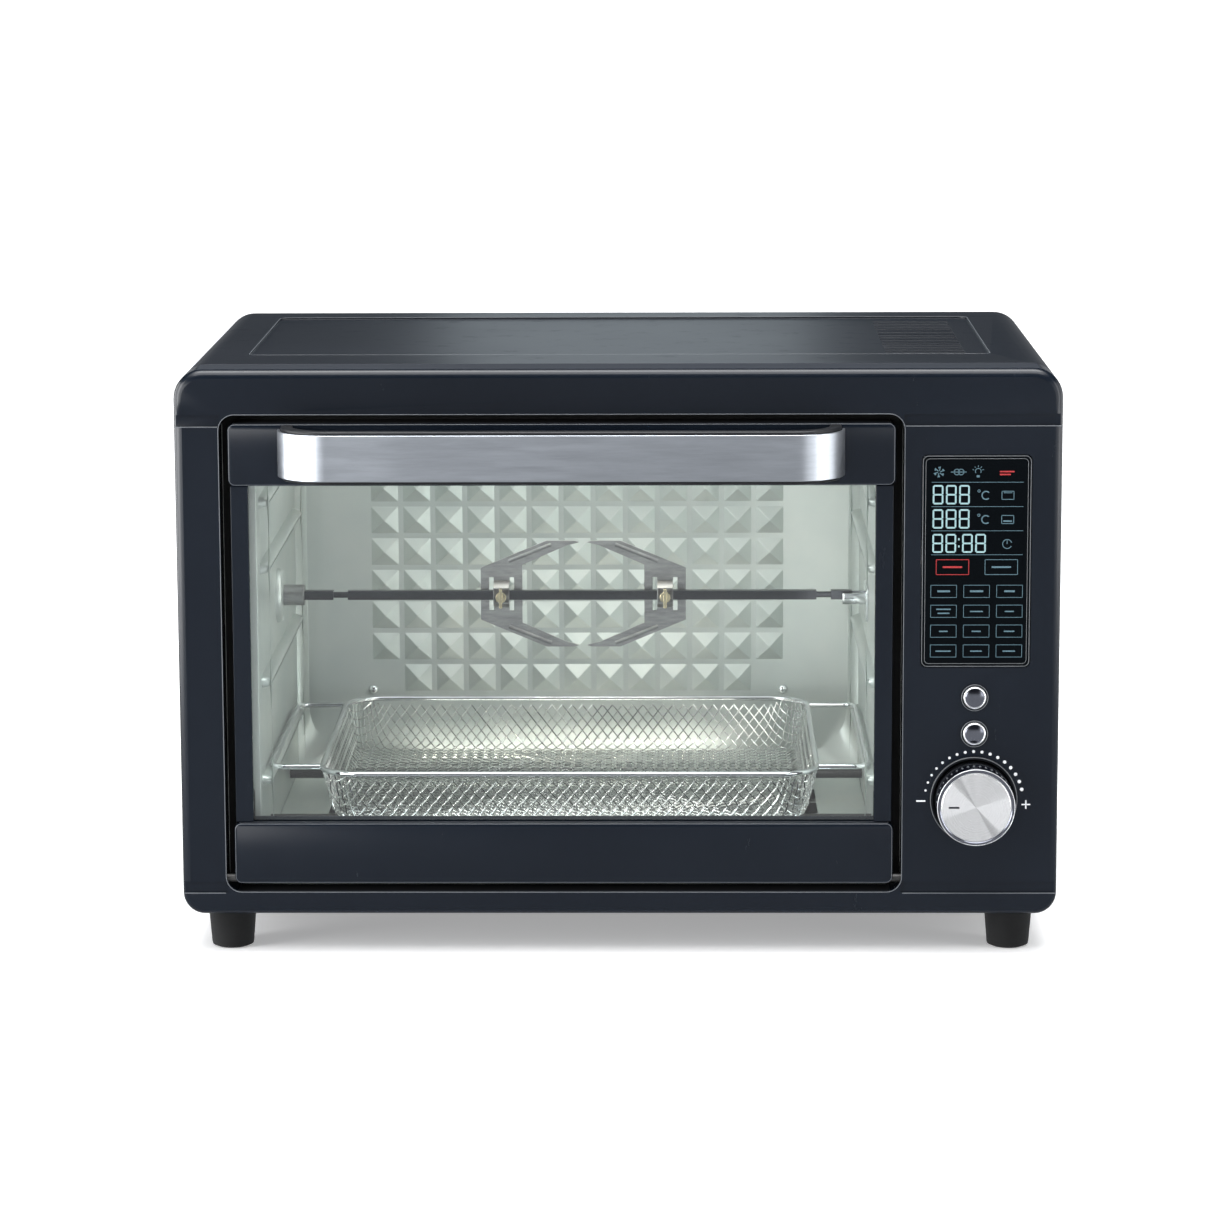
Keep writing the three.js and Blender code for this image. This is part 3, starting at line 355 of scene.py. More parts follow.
def circle(u, v, radius, steps):
    """Points round a circle."""
    turns = [math.tau * k / steps for k in range(steps)]
    return [(u + radius * math.cos(turn), v + radius * math.sin(turn)) for turn in turns]


def flat_face(bm, axis, level, points):
    return bm.faces.new([bm.verts.new(point(axis, level, u, v)) for u, v in points])


def prism(bm, axis, start, end, points):
    """A closed block with an outline across an axis. Returns its face at the end."""
    face = flat_face(bm, axis, start, points)
    made = bmesh.ops.extrude_face_region(bm, geom=[face])["geom"]
    travel = Vector(point(axis, end - start, 0, 0))
    bmesh.ops.translate(bm, vec=travel, verts=[g for g in made if isinstance(g, bmesh.types.BMVert)])
    return next(g for g in made if isinstance(g, bmesh.types.BMFace))


def pressed(bm, axis, level, rise, points, width, steps=5, root=0.4):
    """A bump pressed out of a sheet: from its outline it rises and rounds over within the width."""
    sign = math.copysign(1, rise)
    top = prism(bm, axis, level - sign * root, level + sign * 0.02, points)
    top.normal_update()
    outward = math.copysign(1, top.normal["XYZ".index(axis)]) * sign
    climbed, left = 0.0, width
    for k in range(1, steps + 1):
        turn = math.pi / 2 * k / steps
        reach, remains = abs(rise) * math.sin(turn), width * math.cos(turn)
        step = {"thickness": left - remains, "depth": outward * (reach - climbed)}
        bmesh.ops.inset_region(bm, faces=[top], use_even_offset=True, **step)
        climbed, left = reach, remains
    return top


def lathe(bm, profile, centre, axis="Y", steps=48):
    """Spins [radius, place along the axis] pairs, which start and end on the axis."""
    side = {"X": Vector((0, 0, 1)), "Y": Vector((1, 0, 0)), "Z": Vector((1, 0, 0))}[axis]
    along = Vector(point(axis, 1, 0, 0))
    verts = [bm.verts.new(Vector(centre) + side * r + along * a) for r, a in profile]
    edges = [bm.edges.new(pair) for pair in zip(verts, verts[1:])]
    turn = {"cent": centre, "axis": along, "angle": math.tau, "steps": steps, "use_merge": True}
    bmesh.ops.spin(bm, geom=verts + edges, **turn)


def wires(bm, paths, radius, closed=False, detail=2):
    """Round wires along paths of points."""
    curve = bpy.data.curves.new("wire", "CURVE")
    curve.dimensions, curve.bevel_depth, curve.bevel_resolution = "3D", radius, detail
    curve.use_fill_caps = True
    for path in paths:
        spline = curve.splines.new("POLY")
        spline.points.add(len(path) - 1)
        for knot, co in zip(spline.points, path):
            knot.co = (*co, 1)
        spline.use_cyclic_u = closed
    holder = bpy.data.objects.new("wire", curve)
    mesh = bpy.data.meshes.new_from_object(holder)
    bm.from_mesh(mesh)
    bpy.data.objects.remove(holder)
    bpy.data.curves.remove(curve)
    bpy.data.meshes.remove(mesh)


def hoop(bm, axis, level, outline, radius, detail=1):
    """A closed round wire along an outline across an axis."""
    wires(bm, [[point(axis, level, u, v) for u, v in outline]], radius, True, detail)


def fitted(name, mesh, finish, body, nodes, bevel, segments, angle):
    """Makes a finished mesh an object that rides on its body."""
    mesh.materials.append(finish.material)
    mesh.shade_smooth()
    mesh.set_sharp_from_angle(angle=math.radians(angle))
    made = bpy.data.objects.new(name, mesh)
    bpy.context.scene.collection.objects.link(made)
    if bevel:
        edge = made.modifiers.new("edges", "BEVEL")
        edge.width, edge.segments, edge.profile = bevel * MM, segments, 0.5
        edge.limit_method, edge.angle_limit = "ANGLE", math.radians(angle)
        edge.harden_normals, edge.use_clamp_overlap = True, True
    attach(made, body)
    if nodes:
        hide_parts(*nodes)
    return made


def piece(name, bm, finish, body, nodes=(), bevel=0.0, segments=2, angle=35, merge=1e-4):
    """A new piece drawn in oven millimetres."""
    bmesh.ops.remove_doubles(bm, verts=bm.verts, dist=merge)
    bmesh.ops.recalc_face_normals(bm, faces=bm.faces)
    bmesh.ops.transform(bm, matrix=TO_ROW, verts=bm.verts)
    mesh = bpy.data.meshes.new(name)
    bm.to_mesh(mesh)
    bm.free()
    return fitted(name, mesh, finish, body, nodes, bevel, segments, angle)


def turned(name, profile, centre, finish, body, nodes=(), axis="Y", steps=56, angle=40):
    """A new piece spun about a line along an axis."""
    bm = bmesh.new()
    lathe(bm, profile, centre, axis, steps)
    return piece(name, bm, finish, body, nodes, angle=angle)


def refined(node, finish, body, bevel=0.4, segments=2, angle=35, name=None):
    """A CAD node's own shape with its sharp edges rounded over."""
    bm = bmesh.new()
    bm.from_mesh(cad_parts[node].data)
    bmesh.ops.remove_doubles(bm, verts=bm.verts, dist=1e-6)
    bmesh.ops.dissolve_limit(bm, angle_limit=math.radians(0.6), verts=bm.verts, edges=bm.edges)
    mesh = bpy.data.meshes.new(name or node + "_finished")
    bm.to_mesh(mesh)
    bm.free()
    return fitted(mesh.name, mesh, finish, body, [node], bevel, segments, angle)


def recoat(node, finish):
    """Gives a CAD node that stays as it is a finish."""
    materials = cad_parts[node].data.materials
    materials.clear()
    materials.append(finish.material)


# ---- Camera, lights and floor
def camera():
    data = bpy.data.cameras.new("camera")
    data.lens, data.sensor_width = 127.6, 36
    data.clip_start, data.clip_end = 0.05, 60
    holder = bpy.data.objects.new("camera", data)
    turn = Matrix()
    for degrees, axis in ((0.902, "Z"), (90 - 9.735, "X"), (-0.211, "Z")):
        turn = turn @ Matrix.Rotation(math.radians(degrees), 4, axis)
    holder.matrix_world = Matrix.Translation((0.0327, -2.6426, 0.6382)) @ turn
    bpy.context.scene.collection.objects.link(holder)
    bpy.context.scene.camera = holder


def lamp(name, power, size, place, target, color=(1, 1, 1), mirrored=False):
    """A soft box that faces its target. A mirrored one shows in reflections and lights nothing matt."""
    data = bpy.data.lights.new(name, "AREA")
    data.energy, data.color, data.shape = power, color, "RECTANGLE"
    data.size, data.size_y = size
    return aimed(name, data, place, target, mirrored)


def aimed(name, data, place, target, mirrored=False):
    holder = bpy.data.objects.new(name, data)
    holder.visible_diffuse = not mirrored
    holder.location = place
    holder.rotation_euler = (Vector(target) - Vector(place)).to_track_quat("-Z", "Y").to_euler()
    holder.visible_camera = False
    bpy.context.scene.collection.objects.link(holder)
    return holder


def sky():
    """White to the camera, soft grey as light, and in reflections a pale horizon under a dark sky."""
    world = bpy.data.worlds.new("studio")
    bpy.context.scene.world = world
    world.use_nodes = True
    shade = Nodes(world.node_tree)
    rays = shade.node("LightPath")
    upward = shade.node("SeparateXYZ", None, [shade.node("TexCoord")], "Z")
    height = shade.node("MapRange", None, {0: upward, 2: 0.1})
    mirrored = shade.mix(height, rgb(0.6, 0.61, 0.63), rgb(0.03, 0.034, 0.042))
    lit = shade.mix(rays.output("Is Glossy Ray"), rgb(0.23, 0.24, 0.26), mirrored)
    seen = shade.mix(rays.output("Is Camera Ray"), lit, rgb(1, 1, 1))
    shade.feed(shade.tree.nodes["Background"].inputs["Color"], seen)
    bpy.context.scene.view_settings.view_transform = "Standard"


def ground():
    floor = Finish("pale_floor", Roughness=0.9, Specular_IOR_Level=0.0, Emission_Strength=0.34)
    tone = floor.mix(floor.noise(3), rgb(0.94, 0.94, 0.94), rgb(0.97, 0.97, 0.97))
    floor.set(Base_Color=tone, Emission_Color=tone)
    bm = bmesh.new()
    bmesh.ops.create_circle(bm, cap_ends=True, segments=96, radius=26)
    mesh = bpy.data.meshes.new("floor")
    bm.to_mesh(mesh)
    bm.free()
    mesh.materials.append(floor.material)
    made = bpy.data.objects.new("floor", mesh)
    bpy.context.scene.collection.objects.link(made)
    made.visible_glossy = False


def studio_lamps():
    sun = bpy.data.lights.new("sky", "SUN")
    sun.energy, sun.angle = 2.9, math.radians(75)
    aimed("sky", sun, (0, 0, 3), (0.1, 0.35, 0))
    lamp("top_box", 16, (1.3, 0.5), (0.0, -0.1, 1.5), (0, 0, 0.3))
    lamp("left_box", 18, (0.5, 1.2), (-1.5, -0.9, 0.5), (0, -0.1, 0.2))
    lamp("right_box", 9, (0.4, 1.2), (1.6, -0.8, 0.5), (0, -0.1, 0.2))
    lamp("back_box", 0.72, (0.42, 0.7), (-0.02, 2.2, 0.8), (0, 0, 0.35), (0.83, 0.94, 1))
    lamp("top_card", 38, (1.7, 1.5), (0, -0.45, 1.5), (0, -0.2, 0.35), mirrored=True)
    lamp("left_card", 110, (4.6, 1.1), (-1.6, -1.5, 0.45), (0, -1.5, 0.3), mirrored=True)
    lamp("right_card", 34, (4.4, 1.1), (1.7, -1.3, 0.45), (0, -1.3, 0.3), mirrored=True)


def cavity_lamps():
    """Warm light in the cavity: from its front and roof, its right side, and low at the front and rear."""
    low, high = span("cavity_top")
    centre = (low.x + high.x) / 2
    lights = {
        "cavity_light": (0.09, (0.09, 0.02), (centre + 10, low.y + 60, low.z - 14), (centre, 290, 130),
                         (1, 0.94, 0.84)),
        "cavity_fill": (0.21, (0.32, 0.16), (centre, 130, low.z - 12), (centre, 140, 100), (0.98, 1, 1)),
        "cove_light": (0.055, (0.2, 0.008), (centre, 225, 36), (centre, 290, 44), (1, 0.95, 0.86)),
        "side_glow": (0.04, (0.03, 0.16), (high.x - 25, 120, 150), (centre, 290, 150), (1, 0.97, 0.92)),
        "step_glow": (0.05, (0.32, 0.02), (centre, 45, 30), (centre, 290, 190), (0.84, 0.95, 1)),
    }
    for name, (power, size, place, target, color) in lights.items():
        lamp(name, power, size, TO_ROW @ Vector(place), TO_ROW @ Vector(target), color)


# ---- Casing
def casing():
    refined("outer_cover", NAVY_PAINT, "housing", 0.45, 3)
    for node in ("base_pan", "rear_cover"):
        refined(node, NAVY_PAINT, "housing", 0.3)
    refined("front_fascia", NAVY_GLOSS, "housing", 0.55, 3, 30)
    for place in ("front_left", "front_right", "rear_left", "rear_right"):
        low, high = span("foot_" + place)
        centre = (low + high) / 2
        r, h = (high.x - low.x) / 2, high.z - low.z
        tip = r - 2
        profile = [(0, 0), (tip - 3, 0), (tip - 2.8, 0.6), (tip - 1.6, 0.6), (tip - 0.3, 1.2), (tip, 2.4)]
        profile += [(r - 0.5, h - 3.2), (r, h - 2.6), (r, h - 0.4), (r - 0.4, h), (0, h)]
        turned("foot_rubber_" + place, profile, (centre.x, centre.y, low.z), RUBBER, "housing",
               ["foot_" + place], "Z")


def rear_details():
    """A black sheet just inside the rear slots, painted shade for the dark within the body, and the screws
    that hold the rear cover.
    """
    low, high = span("rear_cover")
    bm = bmesh.new()
    # Painted shade: a black sheet that makes the rear slots look dark inside.
    screen = rounded((low.x + 30, low.z + 30), (high.x - 30, high.z - 18), 0)
    prism(bm, "Y", low.y - 6, low.y - 5, screen)
    piece("rear_shade_sheet", bm, BLACK, "housing")
    edge, radius, proud = 6.5, 3.2, 1.5
    profile = [(0, proud - 0.9), (1.1, proud - 0.7), (1.3, proud), (2.2, proud - 0.2)]
    profile += [(radius, 0.3), (radius, -0.3), (0, -0.3)]
    for row, z in enumerate((low.z + edge, (low.z + high.z) / 2, high.z - edge)):
        for column, x in enumerate((low.x + edge, high.x - edge)):
            turned(f"rear_screw_{row}{column}", profile, (x, high.y, z), CHROME, "housing",
                   steps=24)


def painted_highlight_line(name, body, axis, level, low, high, corner, radius=0.28):
    """A painted highlight along a rounded edge: a fine glowing bead round a rectangle."""
    bm = bmesh.new()
    hoop(bm, axis, level, rounded(low, high, corner, 8), radius)
    piece(name, bm, EDGE_HIGHLIGHT, body, angle=80)


def casing_painted_highlights():
    """Painted highlights: fine glowing lines along the opening, the door's rails, the columns' grooves and
    the pressed top.
    """
    rails = {"lower": span("door_bottom_rail"), "upper": span("door_top_rail")}
    around, inset, sunk = 5.3, 0.7, 0.12
    low = (rails["lower"][0].x - around, rails["lower"][0].z - around)
    high = (rails["upper"][1].x + around, rails["upper"][1].z + around)
    painted_highlight_line("opening_painted_highlight", "housing", "Y", sunk, low, high, 9.3)
    for side, (corner, end) in rails.items():
        painted_highlight_line(f"rail_painted_highlight_{side}", "door", "Y", 0.35, (corner.x + inset, corner.z + inset),
                  (end.x - inset, end.z - inset), 3.4, 0.24)
    cover_low, cover_high = span("outer_cover")
    painted_highlight_line("pressed_painted_highlight", "housing", "Z", cover_high.z - 0.2,
              (cover_low.x + 37.1, 79.0), (cover_high.x - 37.1, cover_high.y - 29.7), 5.3, 0.3)
    # Painted highlights along the columns' grooves.
    bm = bmesh.new()
    grooves, short = (292.9, 13.3), 0.4
    for z in grooves:
        for ends in ((cover_low.x + short, low[0] - short), (high[0] + short, cover_high.x - short)):
            wires(bm, [[Vector((x, sunk, z)) for x in ends]], 0.3, detail=1)
    piece("groove_painted_highlight", bm, EDGE_HIGHLIGHT, "housing", angle=80)


# ---- Door
HANDLE_BEND = 30  # the radius that the handle's bow turns with


def bow(node, inset):
    """The path of the handle's bow in X and Y, set in from a node's outer faces."""
    low, high = span(node)
    bend = HANDLE_BEND - inset
    left, right, face = low.x + inset, high.x - inset, low.y + inset
    path = [(left, high.y)]
    for centre, start in ((left + bend, 1.0), (right - bend, 1.5)):
        for k in range(13):
            angle = math.pi * (start + k / 24)
            path.append((centre + bend * math.cos(angle), face + bend + bend * math.sin(angle)))
    return path + [(right, high.y)]


def bow_band(node, thickness, finish, name, bevel):
    low, high = span(node)
    outer, inner = bow(node, 0), bow(node, thickness)
    bm = bmesh.new()
    prism(bm, "Z", low.z, high.z, outer + inner[::-1])
    piece(name, bm, finish, "door", [node], bevel, 3, 40)


def door_seal():
    """A dark gasket on the mouth's frame, which shows in the gap round the door."""
    low, high = span("cavity_front_frame")
    left, right = span("door_left_stile")[0].x, span("door_right_stile")[1].x
    bottom, top = span("door_bottom_rail")[0].z, span("door_top_rail")[1].z
    room, lap, thick = 6.2, 4, 0.8
    outer = rounded((low.x + room, low.z + room), (high.x - room, high.z - room - 2), 8, 8)
    inner = rounded((left + lap, bottom + lap), (right - lap, top - lap), 4, 8)
    bm = bmesh.new()
    loops = []
    for y in (low.y - thick, low.y - 0.05):
        for outline in (outer, inner):
            verts = [bm.verts.new(point("Y", y, u, v)) for u, v in outline]
            loops.append([bm.edges.new((verts[k], verts[(k + 1) % len(verts)])) for k in range(len(verts))])
    for a, b in ((0, 1), (0, 2), (1, 3), (2, 3)):
        bmesh.ops.bridge_loops(bm, edges=loops[a] + loops[b])
    piece("door_gasket", bm, RUBBER, "housing", bevel=0.2)


def door():
    for node in ("door_top_rail", "door_bottom_rail"):
        refined(node, NAVY_GLOSS, "door", 0.3, 2, 40)
    for node in ("door_left_stile", "door_right_stile"):
        refined(node, NAVY_GLOSS, "door", 0.5, 2)
    recoat("door_glass", GLASS)
    bow_band("handle_strip", 1.5, STEEL, "handle_face", 0.35)
    bow_band("handle_backing", 7, BLACK, "handle_core", 1.2)
    low, high = span("door_glass")
    sill = span("door_bottom_rail")[1].z
    wide, inset = 7, 2.4
    for side, x in (("left", low.x + inset), ("right", high.x - inset - wide)):
        bm = bmesh.new()
        outline = rounded((x, sill - 6), (x + wide, sill + 19), (0, 0, 3.4, 3.4))
        prism(bm, "Y", high.y + 0.4, high.y + 6, outline)
        piece("hinge_cover_" + side, bm, BLACK, "door", bevel=0.5)


# ---- Controls
PRINT = 0.12  # how far ink and symbols stand off what they are on


class Sheet:
    """Flat print on the front: bars, dots and rings in one ink."""

    def __init__(self, face):
        self.bm, self.face = bmesh.new(), face

    def bar(self, x, z, width, height, corner=0.2):
        outline = rounded((x, z), (x + width, z + height), min(corner, width / 2.01, height / 2.01), 2)
        prism(self.bm, "Y", self.face, self.face - PRINT, outline)

    def frame(self, x, z, width, height, line=0.3):
        self.bar(x, z, width, line, 0)
        self.bar(x, z + height - line, width, line, 0)
        self.bar(x, z, line, height, 0)
        self.bar(x + width - line, z, line, height, 0)

    def dot(self, x, z, radius, sides=16):
        prism(self.bm, "Y", self.face, self.face - PRINT, circle(x, z, radius, sides))

    def ring(self, x, z, radius, line, sides=40, start=0.0, turn=1.0):
        """A ring, or the part of it that a share of a turn covers."""
        for k in range(round(sides * turn)):
            a, b = (math.tau * (start + (k + i) / sides) for i in (0, 1))
            corners = [(radius, a), (radius - line, a), (radius - line, b), (radius, b)]
            outline = [(x + r * math.cos(t), z + r * math.sin(t)) for r, t in corners]
            prism(self.bm, "Y", self.face, self.face - PRINT, outline)

    def ray(self, x, z, angle, near, far, width):
        """A bar that points away from a centre."""
        along = Vector((math.cos(angle), math.sin(angle)))
        side = Vector((-along.y, along.x)) * width / 2
        start, end = (Vector((x, z)) + along * reach for reach in (near, far))
        outline = (start - side, end - side, end + side, start + side)
        prism(self.bm, "Y", self.face, self.face - PRINT, outline)

    def digit(self, x, z, width, height, stroke):
        """A seven-segment figure with every segment lit."""
        half, nick = height / 2, stroke * 0.65
        for level in (0, half - stroke / 2, height - stroke):
            self.bar(x + nick, z + level, width - 2 * nick, stroke, 0.3)
        for side in (0, width - stroke):
            for level in (nick, half + nick * 0.4):
                self.bar(x + side, z + level, stroke, half - 1.4 * nick, 0.3)


def display():
    """A black pane with a lit clock and settings over rows of boxes, each with a plain bar for its word."""
    low, high = span("display_window")
    refined("display_window", WINDOW, "housing", 0.35, 3, name="display_pane")
    left, top, wide = low.x, high.z, high.x - low.x
    lines, lit, faint, red = (Sheet(low.y) for _ in range(4))
    # Two glowing pale lines round the pane's edge: painted highlights.
    for inset, line in ((0.5, 0.35), (2.1, 0.25)):
        rim = rounded((low.x + inset, low.z + inset), (high.x - inset, high.z - inset), 3.4 - inset / 2, 5)
        hoop(lines.bm, "Y", low.y - PRINT / 2, rim, line / 2)
    for drop in (16.1, 30.5, 44.8, 59.0):
        faint.bar(left + 5.5, top - drop, wide - 10.3, 0.28, 0)

    icons, upper, lower, clock, modes = (top - drop for drop in (9.9, 23.2, 37.5, 51.9, 66.4))
    display_icons(faint, red, left, icons)
    digit_wide, digit_drop, stroke = 6.2, 5.8, 0.95
    for row in (upper, lower):
        for k in range(3):
            lit.digit(left + 6.2 + 7.7 * k, row - digit_drop, digit_wide, 11.4, stroke)
        z = row - 0.5
        faint.ring(left + 33.2, z + 2.6, 0.9, 0.4, 12)
        faint.ring(left + 37.3, z, 2.7, 0.7, 24, 0.12, 0.76)
        faint.frame(left + 46.4, z - 2.6, 7.4, 5.2, 0.4)
    faint.bar(left + 47.6, upper + 0.8, 5.0, 0.4, 0)
    faint.bar(left + 47.6, lower - 1.9, 5.0, 0.9, 0)
    for x in (6.2, 13.9, 23.6, 31.3):
        lit.digit(left + x, clock - digit_drop, digit_wide, 11.2, stroke)
    for rise in (1.6, -2.6):
        lit.bar(left + 21.3, clock + rise, 0.8, 1.2)
    faint.ring(left + 50, clock - 0.6, 2.9, 0.45, 24, 0.05, 0.86)
    faint.bar(left + 49.7, clock - 0.6, 0.45, 2.2, 0)

    for sheet, x in ((red, 8.4), (faint, 37.0)):
        sheet.frame(left + x, modes - 4.4, 19.4, 9.2, 0.35)
        sheet.bar(left + x + 4.0, modes - 0.3, 11.4, 1.0)
    columns, pitch, drop = 3, (19.3, 11.85), 84.4
    bars = ((7.4,), (7.8,), (6.2,), (8.6, 7.0), (7.6,), (5.4,), (5,), (5.4,), (6.2,), (9.0,), (6.8,), (7.4,))
    for i, widths in enumerate(bars):
        row, column = divmod(i, columns)
        x, z = left + 5.4 + pitch[0] * column, top - drop - pitch[1] * row
        faint.frame(x, z, 15.4, 7.6, 0.3)
        for k, width in enumerate(widths):
            lift = 3.3 if len(widths) == 1 else 4.6 - 2.4 * k
            faint.bar(x + 7.7 - width / 2, z + lift, width, 0.75 if row else 1.1)
    inks = {"lines": (lines, RIM_HIGHLIGHT), "figures": (lit, LIT), "symbols": (faint, FAINT), "alert": (red, RED)}
    for name, (sheet, ink) in inks.items():
        piece("display_" + name, sheet.bm, ink, "housing")


def display_icons(faint, red, left, z):
    """A fan, a spit and a lamp, and two short red bars."""
    fan, spit, bulb = left + 9.8, left + 16.6, left + 32.6
    for k in range(6):
        turn = math.tau * k / 6
        faint.ray(fan, z, turn + 0.3, 0.7, 3.3, 0.5)
        faint.dot(fan + 2.6 * math.cos(turn + 0.55), z + 2.6 * math.sin(turn + 0.55), 0.5, 8)
    for x in (3.6, 6.0):
        faint.ring(spit + x, z, 1.9, 0.45, 20)
    faint.bar(spit, z - 0.25, 9.2, 0.45, 0)
    faint.ring(bulb, z + 0.4, 1.9, 0.4, 20, -0.1, 0.7)
    for k in range(5):
        faint.ray(bulb, z + 0.4, math.pi * (0.1 + 0.2 * k), 2.5, 3.5, 0.35)
    faint.bar(bulb - 0.9, z - 3.2, 1.8, 1.3)
    for lift, width in ((-0.2, 8.6), (-1.9, 6.4)):
        red.bar(left + 45.2, z + lift, width, 0.8)


def buttons():
    for row, body in (("upper", "button_a"), ("lower", "button_b")):
        low, high = span("button_bezel_" + row)
        centre = (low + high) / 2
        place, outer = (centre.x, 0, centre.z), (high.x - low.x) / 2
        profile = [(outer - 1, high.y), (outer, high.y), (outer, low.y + 0.3), (outer - 0.25, low.y)]
        profile += [(outer - 0.7, low.y), (outer - 1, low.y + 0.3), (outer - 1, high.y)]
        turned("bezel_ring_" + row, profile, place, BLACK, "housing",
               ["button_bezel_" + row], angle=50)
        bm = bmesh.new()
        # A glowing line round the bezel's front edge: a painted highlight.
        hoop(bm, "Y", low.y, circle(centre.x, centre.z, outer - 0.2, 48), 0.2)
        piece("bezel_painted_highlight_" + row, bm, RIM_HIGHLIGHT, "housing")

        low, high = span("button_" + row)
        r, top, deep, sag = (high.x - low.x) / 2, low.y, 6, 0.8
        dome = r * 0.84
        profile = [(dome * k / 8, top + sag * (k / 8) ** 2) for k in range(9)]
        profile += [(r - 0.4, top + 1.3), (r - 0.4, top + deep), (0, top + deep)]
        turned("button_cap_" + row, profile, place, SMOKED, body, ["button_" + row])
        rim = [(dome, top + 1.5), (dome, top + 0.7), (dome + 0.15, top + 0.35), (dome + 0.45, top + 0.25)]
        rim += [(r - 0.25, top + 0.45), (r, top + 0.9), (r, top + deep), (r - 0.6, top + deep)]
        turned("button_rim_" + row, rim + rim[:1], place, SATIN, body)


def knob():
    centre = middle("knob_disc")
    place = (centre.x, 0, centre.z)
    knob_well(centre, place)
    low, high = span("knob_skirt")
    front, r = low.y, (high.x - low.x) / 2
    low_disc, high_disc = span("knob_disc")
    disc, face = (high_disc.x - low_disc.x) / 2, low_disc.y
    spun_slot, round_steps = "spun_aluminium", 96
    profile = [(0, front + 0.8), (disc + 0.2, front + 0.8), (disc + 0.5, front + 0.3)]
    profile += [(disc + 0.8, front + 0.1), (r - 0.6, front + 0.1), (r - 0.2, front + 0.5)]
    profile += [(r, front + 1.2), (r, high.y - 0.5), (r - 0.5, high.y), (r - 2.2, high.y)]
    profile += [(r - 2.5, high.y - 1), (r - 2.5, front + 5), (0, front + 5)]
    turned("knob_shell", profile, place, SMOKED, "knob", ["knob_skirt"], "Y", round_steps, 25)
    for name, ring, level in (("inner", disc + 0.15, front + 0.6), ("outer", r - 0.42, front + 0.28)):
        bm = bmesh.new()
        hoop(bm, "Y", level, circle(centre.x, centre.z, ring, round_steps), 0.22, 2)
        piece(f"knob_edge_{name}", bm, SATIN, "knob", angle=80)
    profile = [(0, high_disc.y), (disc - 0.1, high_disc.y), (disc - 0.1, face + 0.1)]
    profile += [(disc - 0.3, face), (0, face)]
    turned("knob_face", profile, place, SPUN, "knob", ["knob_disc"], "Y", round_steps, 25)
    bm = bmesh.new()
    mark = rounded((centre.x - 16.2, centre.z - 0.55), (centre.x - 9.8, centre.z + 0.55), 0.5, 4)
    prism(bm, "Y", face + 0.05, face - 0.08, mark)
    piece("knob_mark", bm, DARK_STEEL, "knob")
    dial_print(centre)


def knob_well(centre, place):
    low, high = span("knob_well")
    r, front, back = (high.x - low.x) / 2, low.y, high.y
    profile = [(0, back), (r - 1.5, back), (r - 1.5, -0.1), (r, -0.1), (r, front + 0.4), (r - 0.3, front)]
    profile += [(r - 0.8, front), (r - 1.6, front + 0.5), (r - 2.2, front + 1.5), (r - 2.4, back - 2)]
    profile += [(r - 3, back - 1.3), (0, back - 1.3)]
    turned("well_cup", profile, place, BLACK, "housing", ["knob_well"], "Y", 72, 30)
    bm = bmesh.new()
    # A glowing line round the well's front edge: a painted highlight.
    hoop(bm, "Y", front, circle(centre.x, centre.z, r - 0.45, 72), 0.22)
    piece("well_painted_highlight", bm, RIM_HIGHLIGHT, "housing")


def dial_print(centre):
    """Dots that grow from minus to plus round the knob."""
    ink = Sheet(0.02)
    dots, reach = 17, 29
    for k in range(dots):
        angle = math.radians(169 - 9.8 * k)
        x, z = centre.x + reach * math.cos(angle), centre.z + reach * math.sin(angle)
        ink.dot(x, z, 0.68 + 0.42 * k / (dots - 1))
    ink.bar(centre.x - 33.9, centre.z - 1.3, 5.4, 0.9)
    ink.bar(centre.x + 28.3, centre.z - 3.4, 5.2, 0.8)
    ink.bar(centre.x + 30.5, centre.z - 5.6, 0.8, 5.2)
    piece("dial_print", ink.bm, WHITE, "housing")


# ---- Cavity
SHEET = 1.2  # the thickness of the cavity's sheets
RAIL_TOPS = (77, 137, 206, 246)
PAN_DEPTH = 12


def side_wall(node, inward):
    """A side wall with its pressed rails, and the level of the face that they rise from."""
    low, high = span(node)
    front, rear, tall, rise = 38, 264, 7, 6
    outside = low.x if inward > 0 else high.x
    face = outside + inward * SHEET
    bm = bmesh.new()
    prism(bm, "X", outside, face, rounded((low.y, low.z), (high.y, high.z), 0))
    for top in RAIL_TOPS:
        pressed(bm, "X", face, inward * rise, rounded((front, top - tall), (rear, top), 3.45, 8), 3.2)
    return bm, face


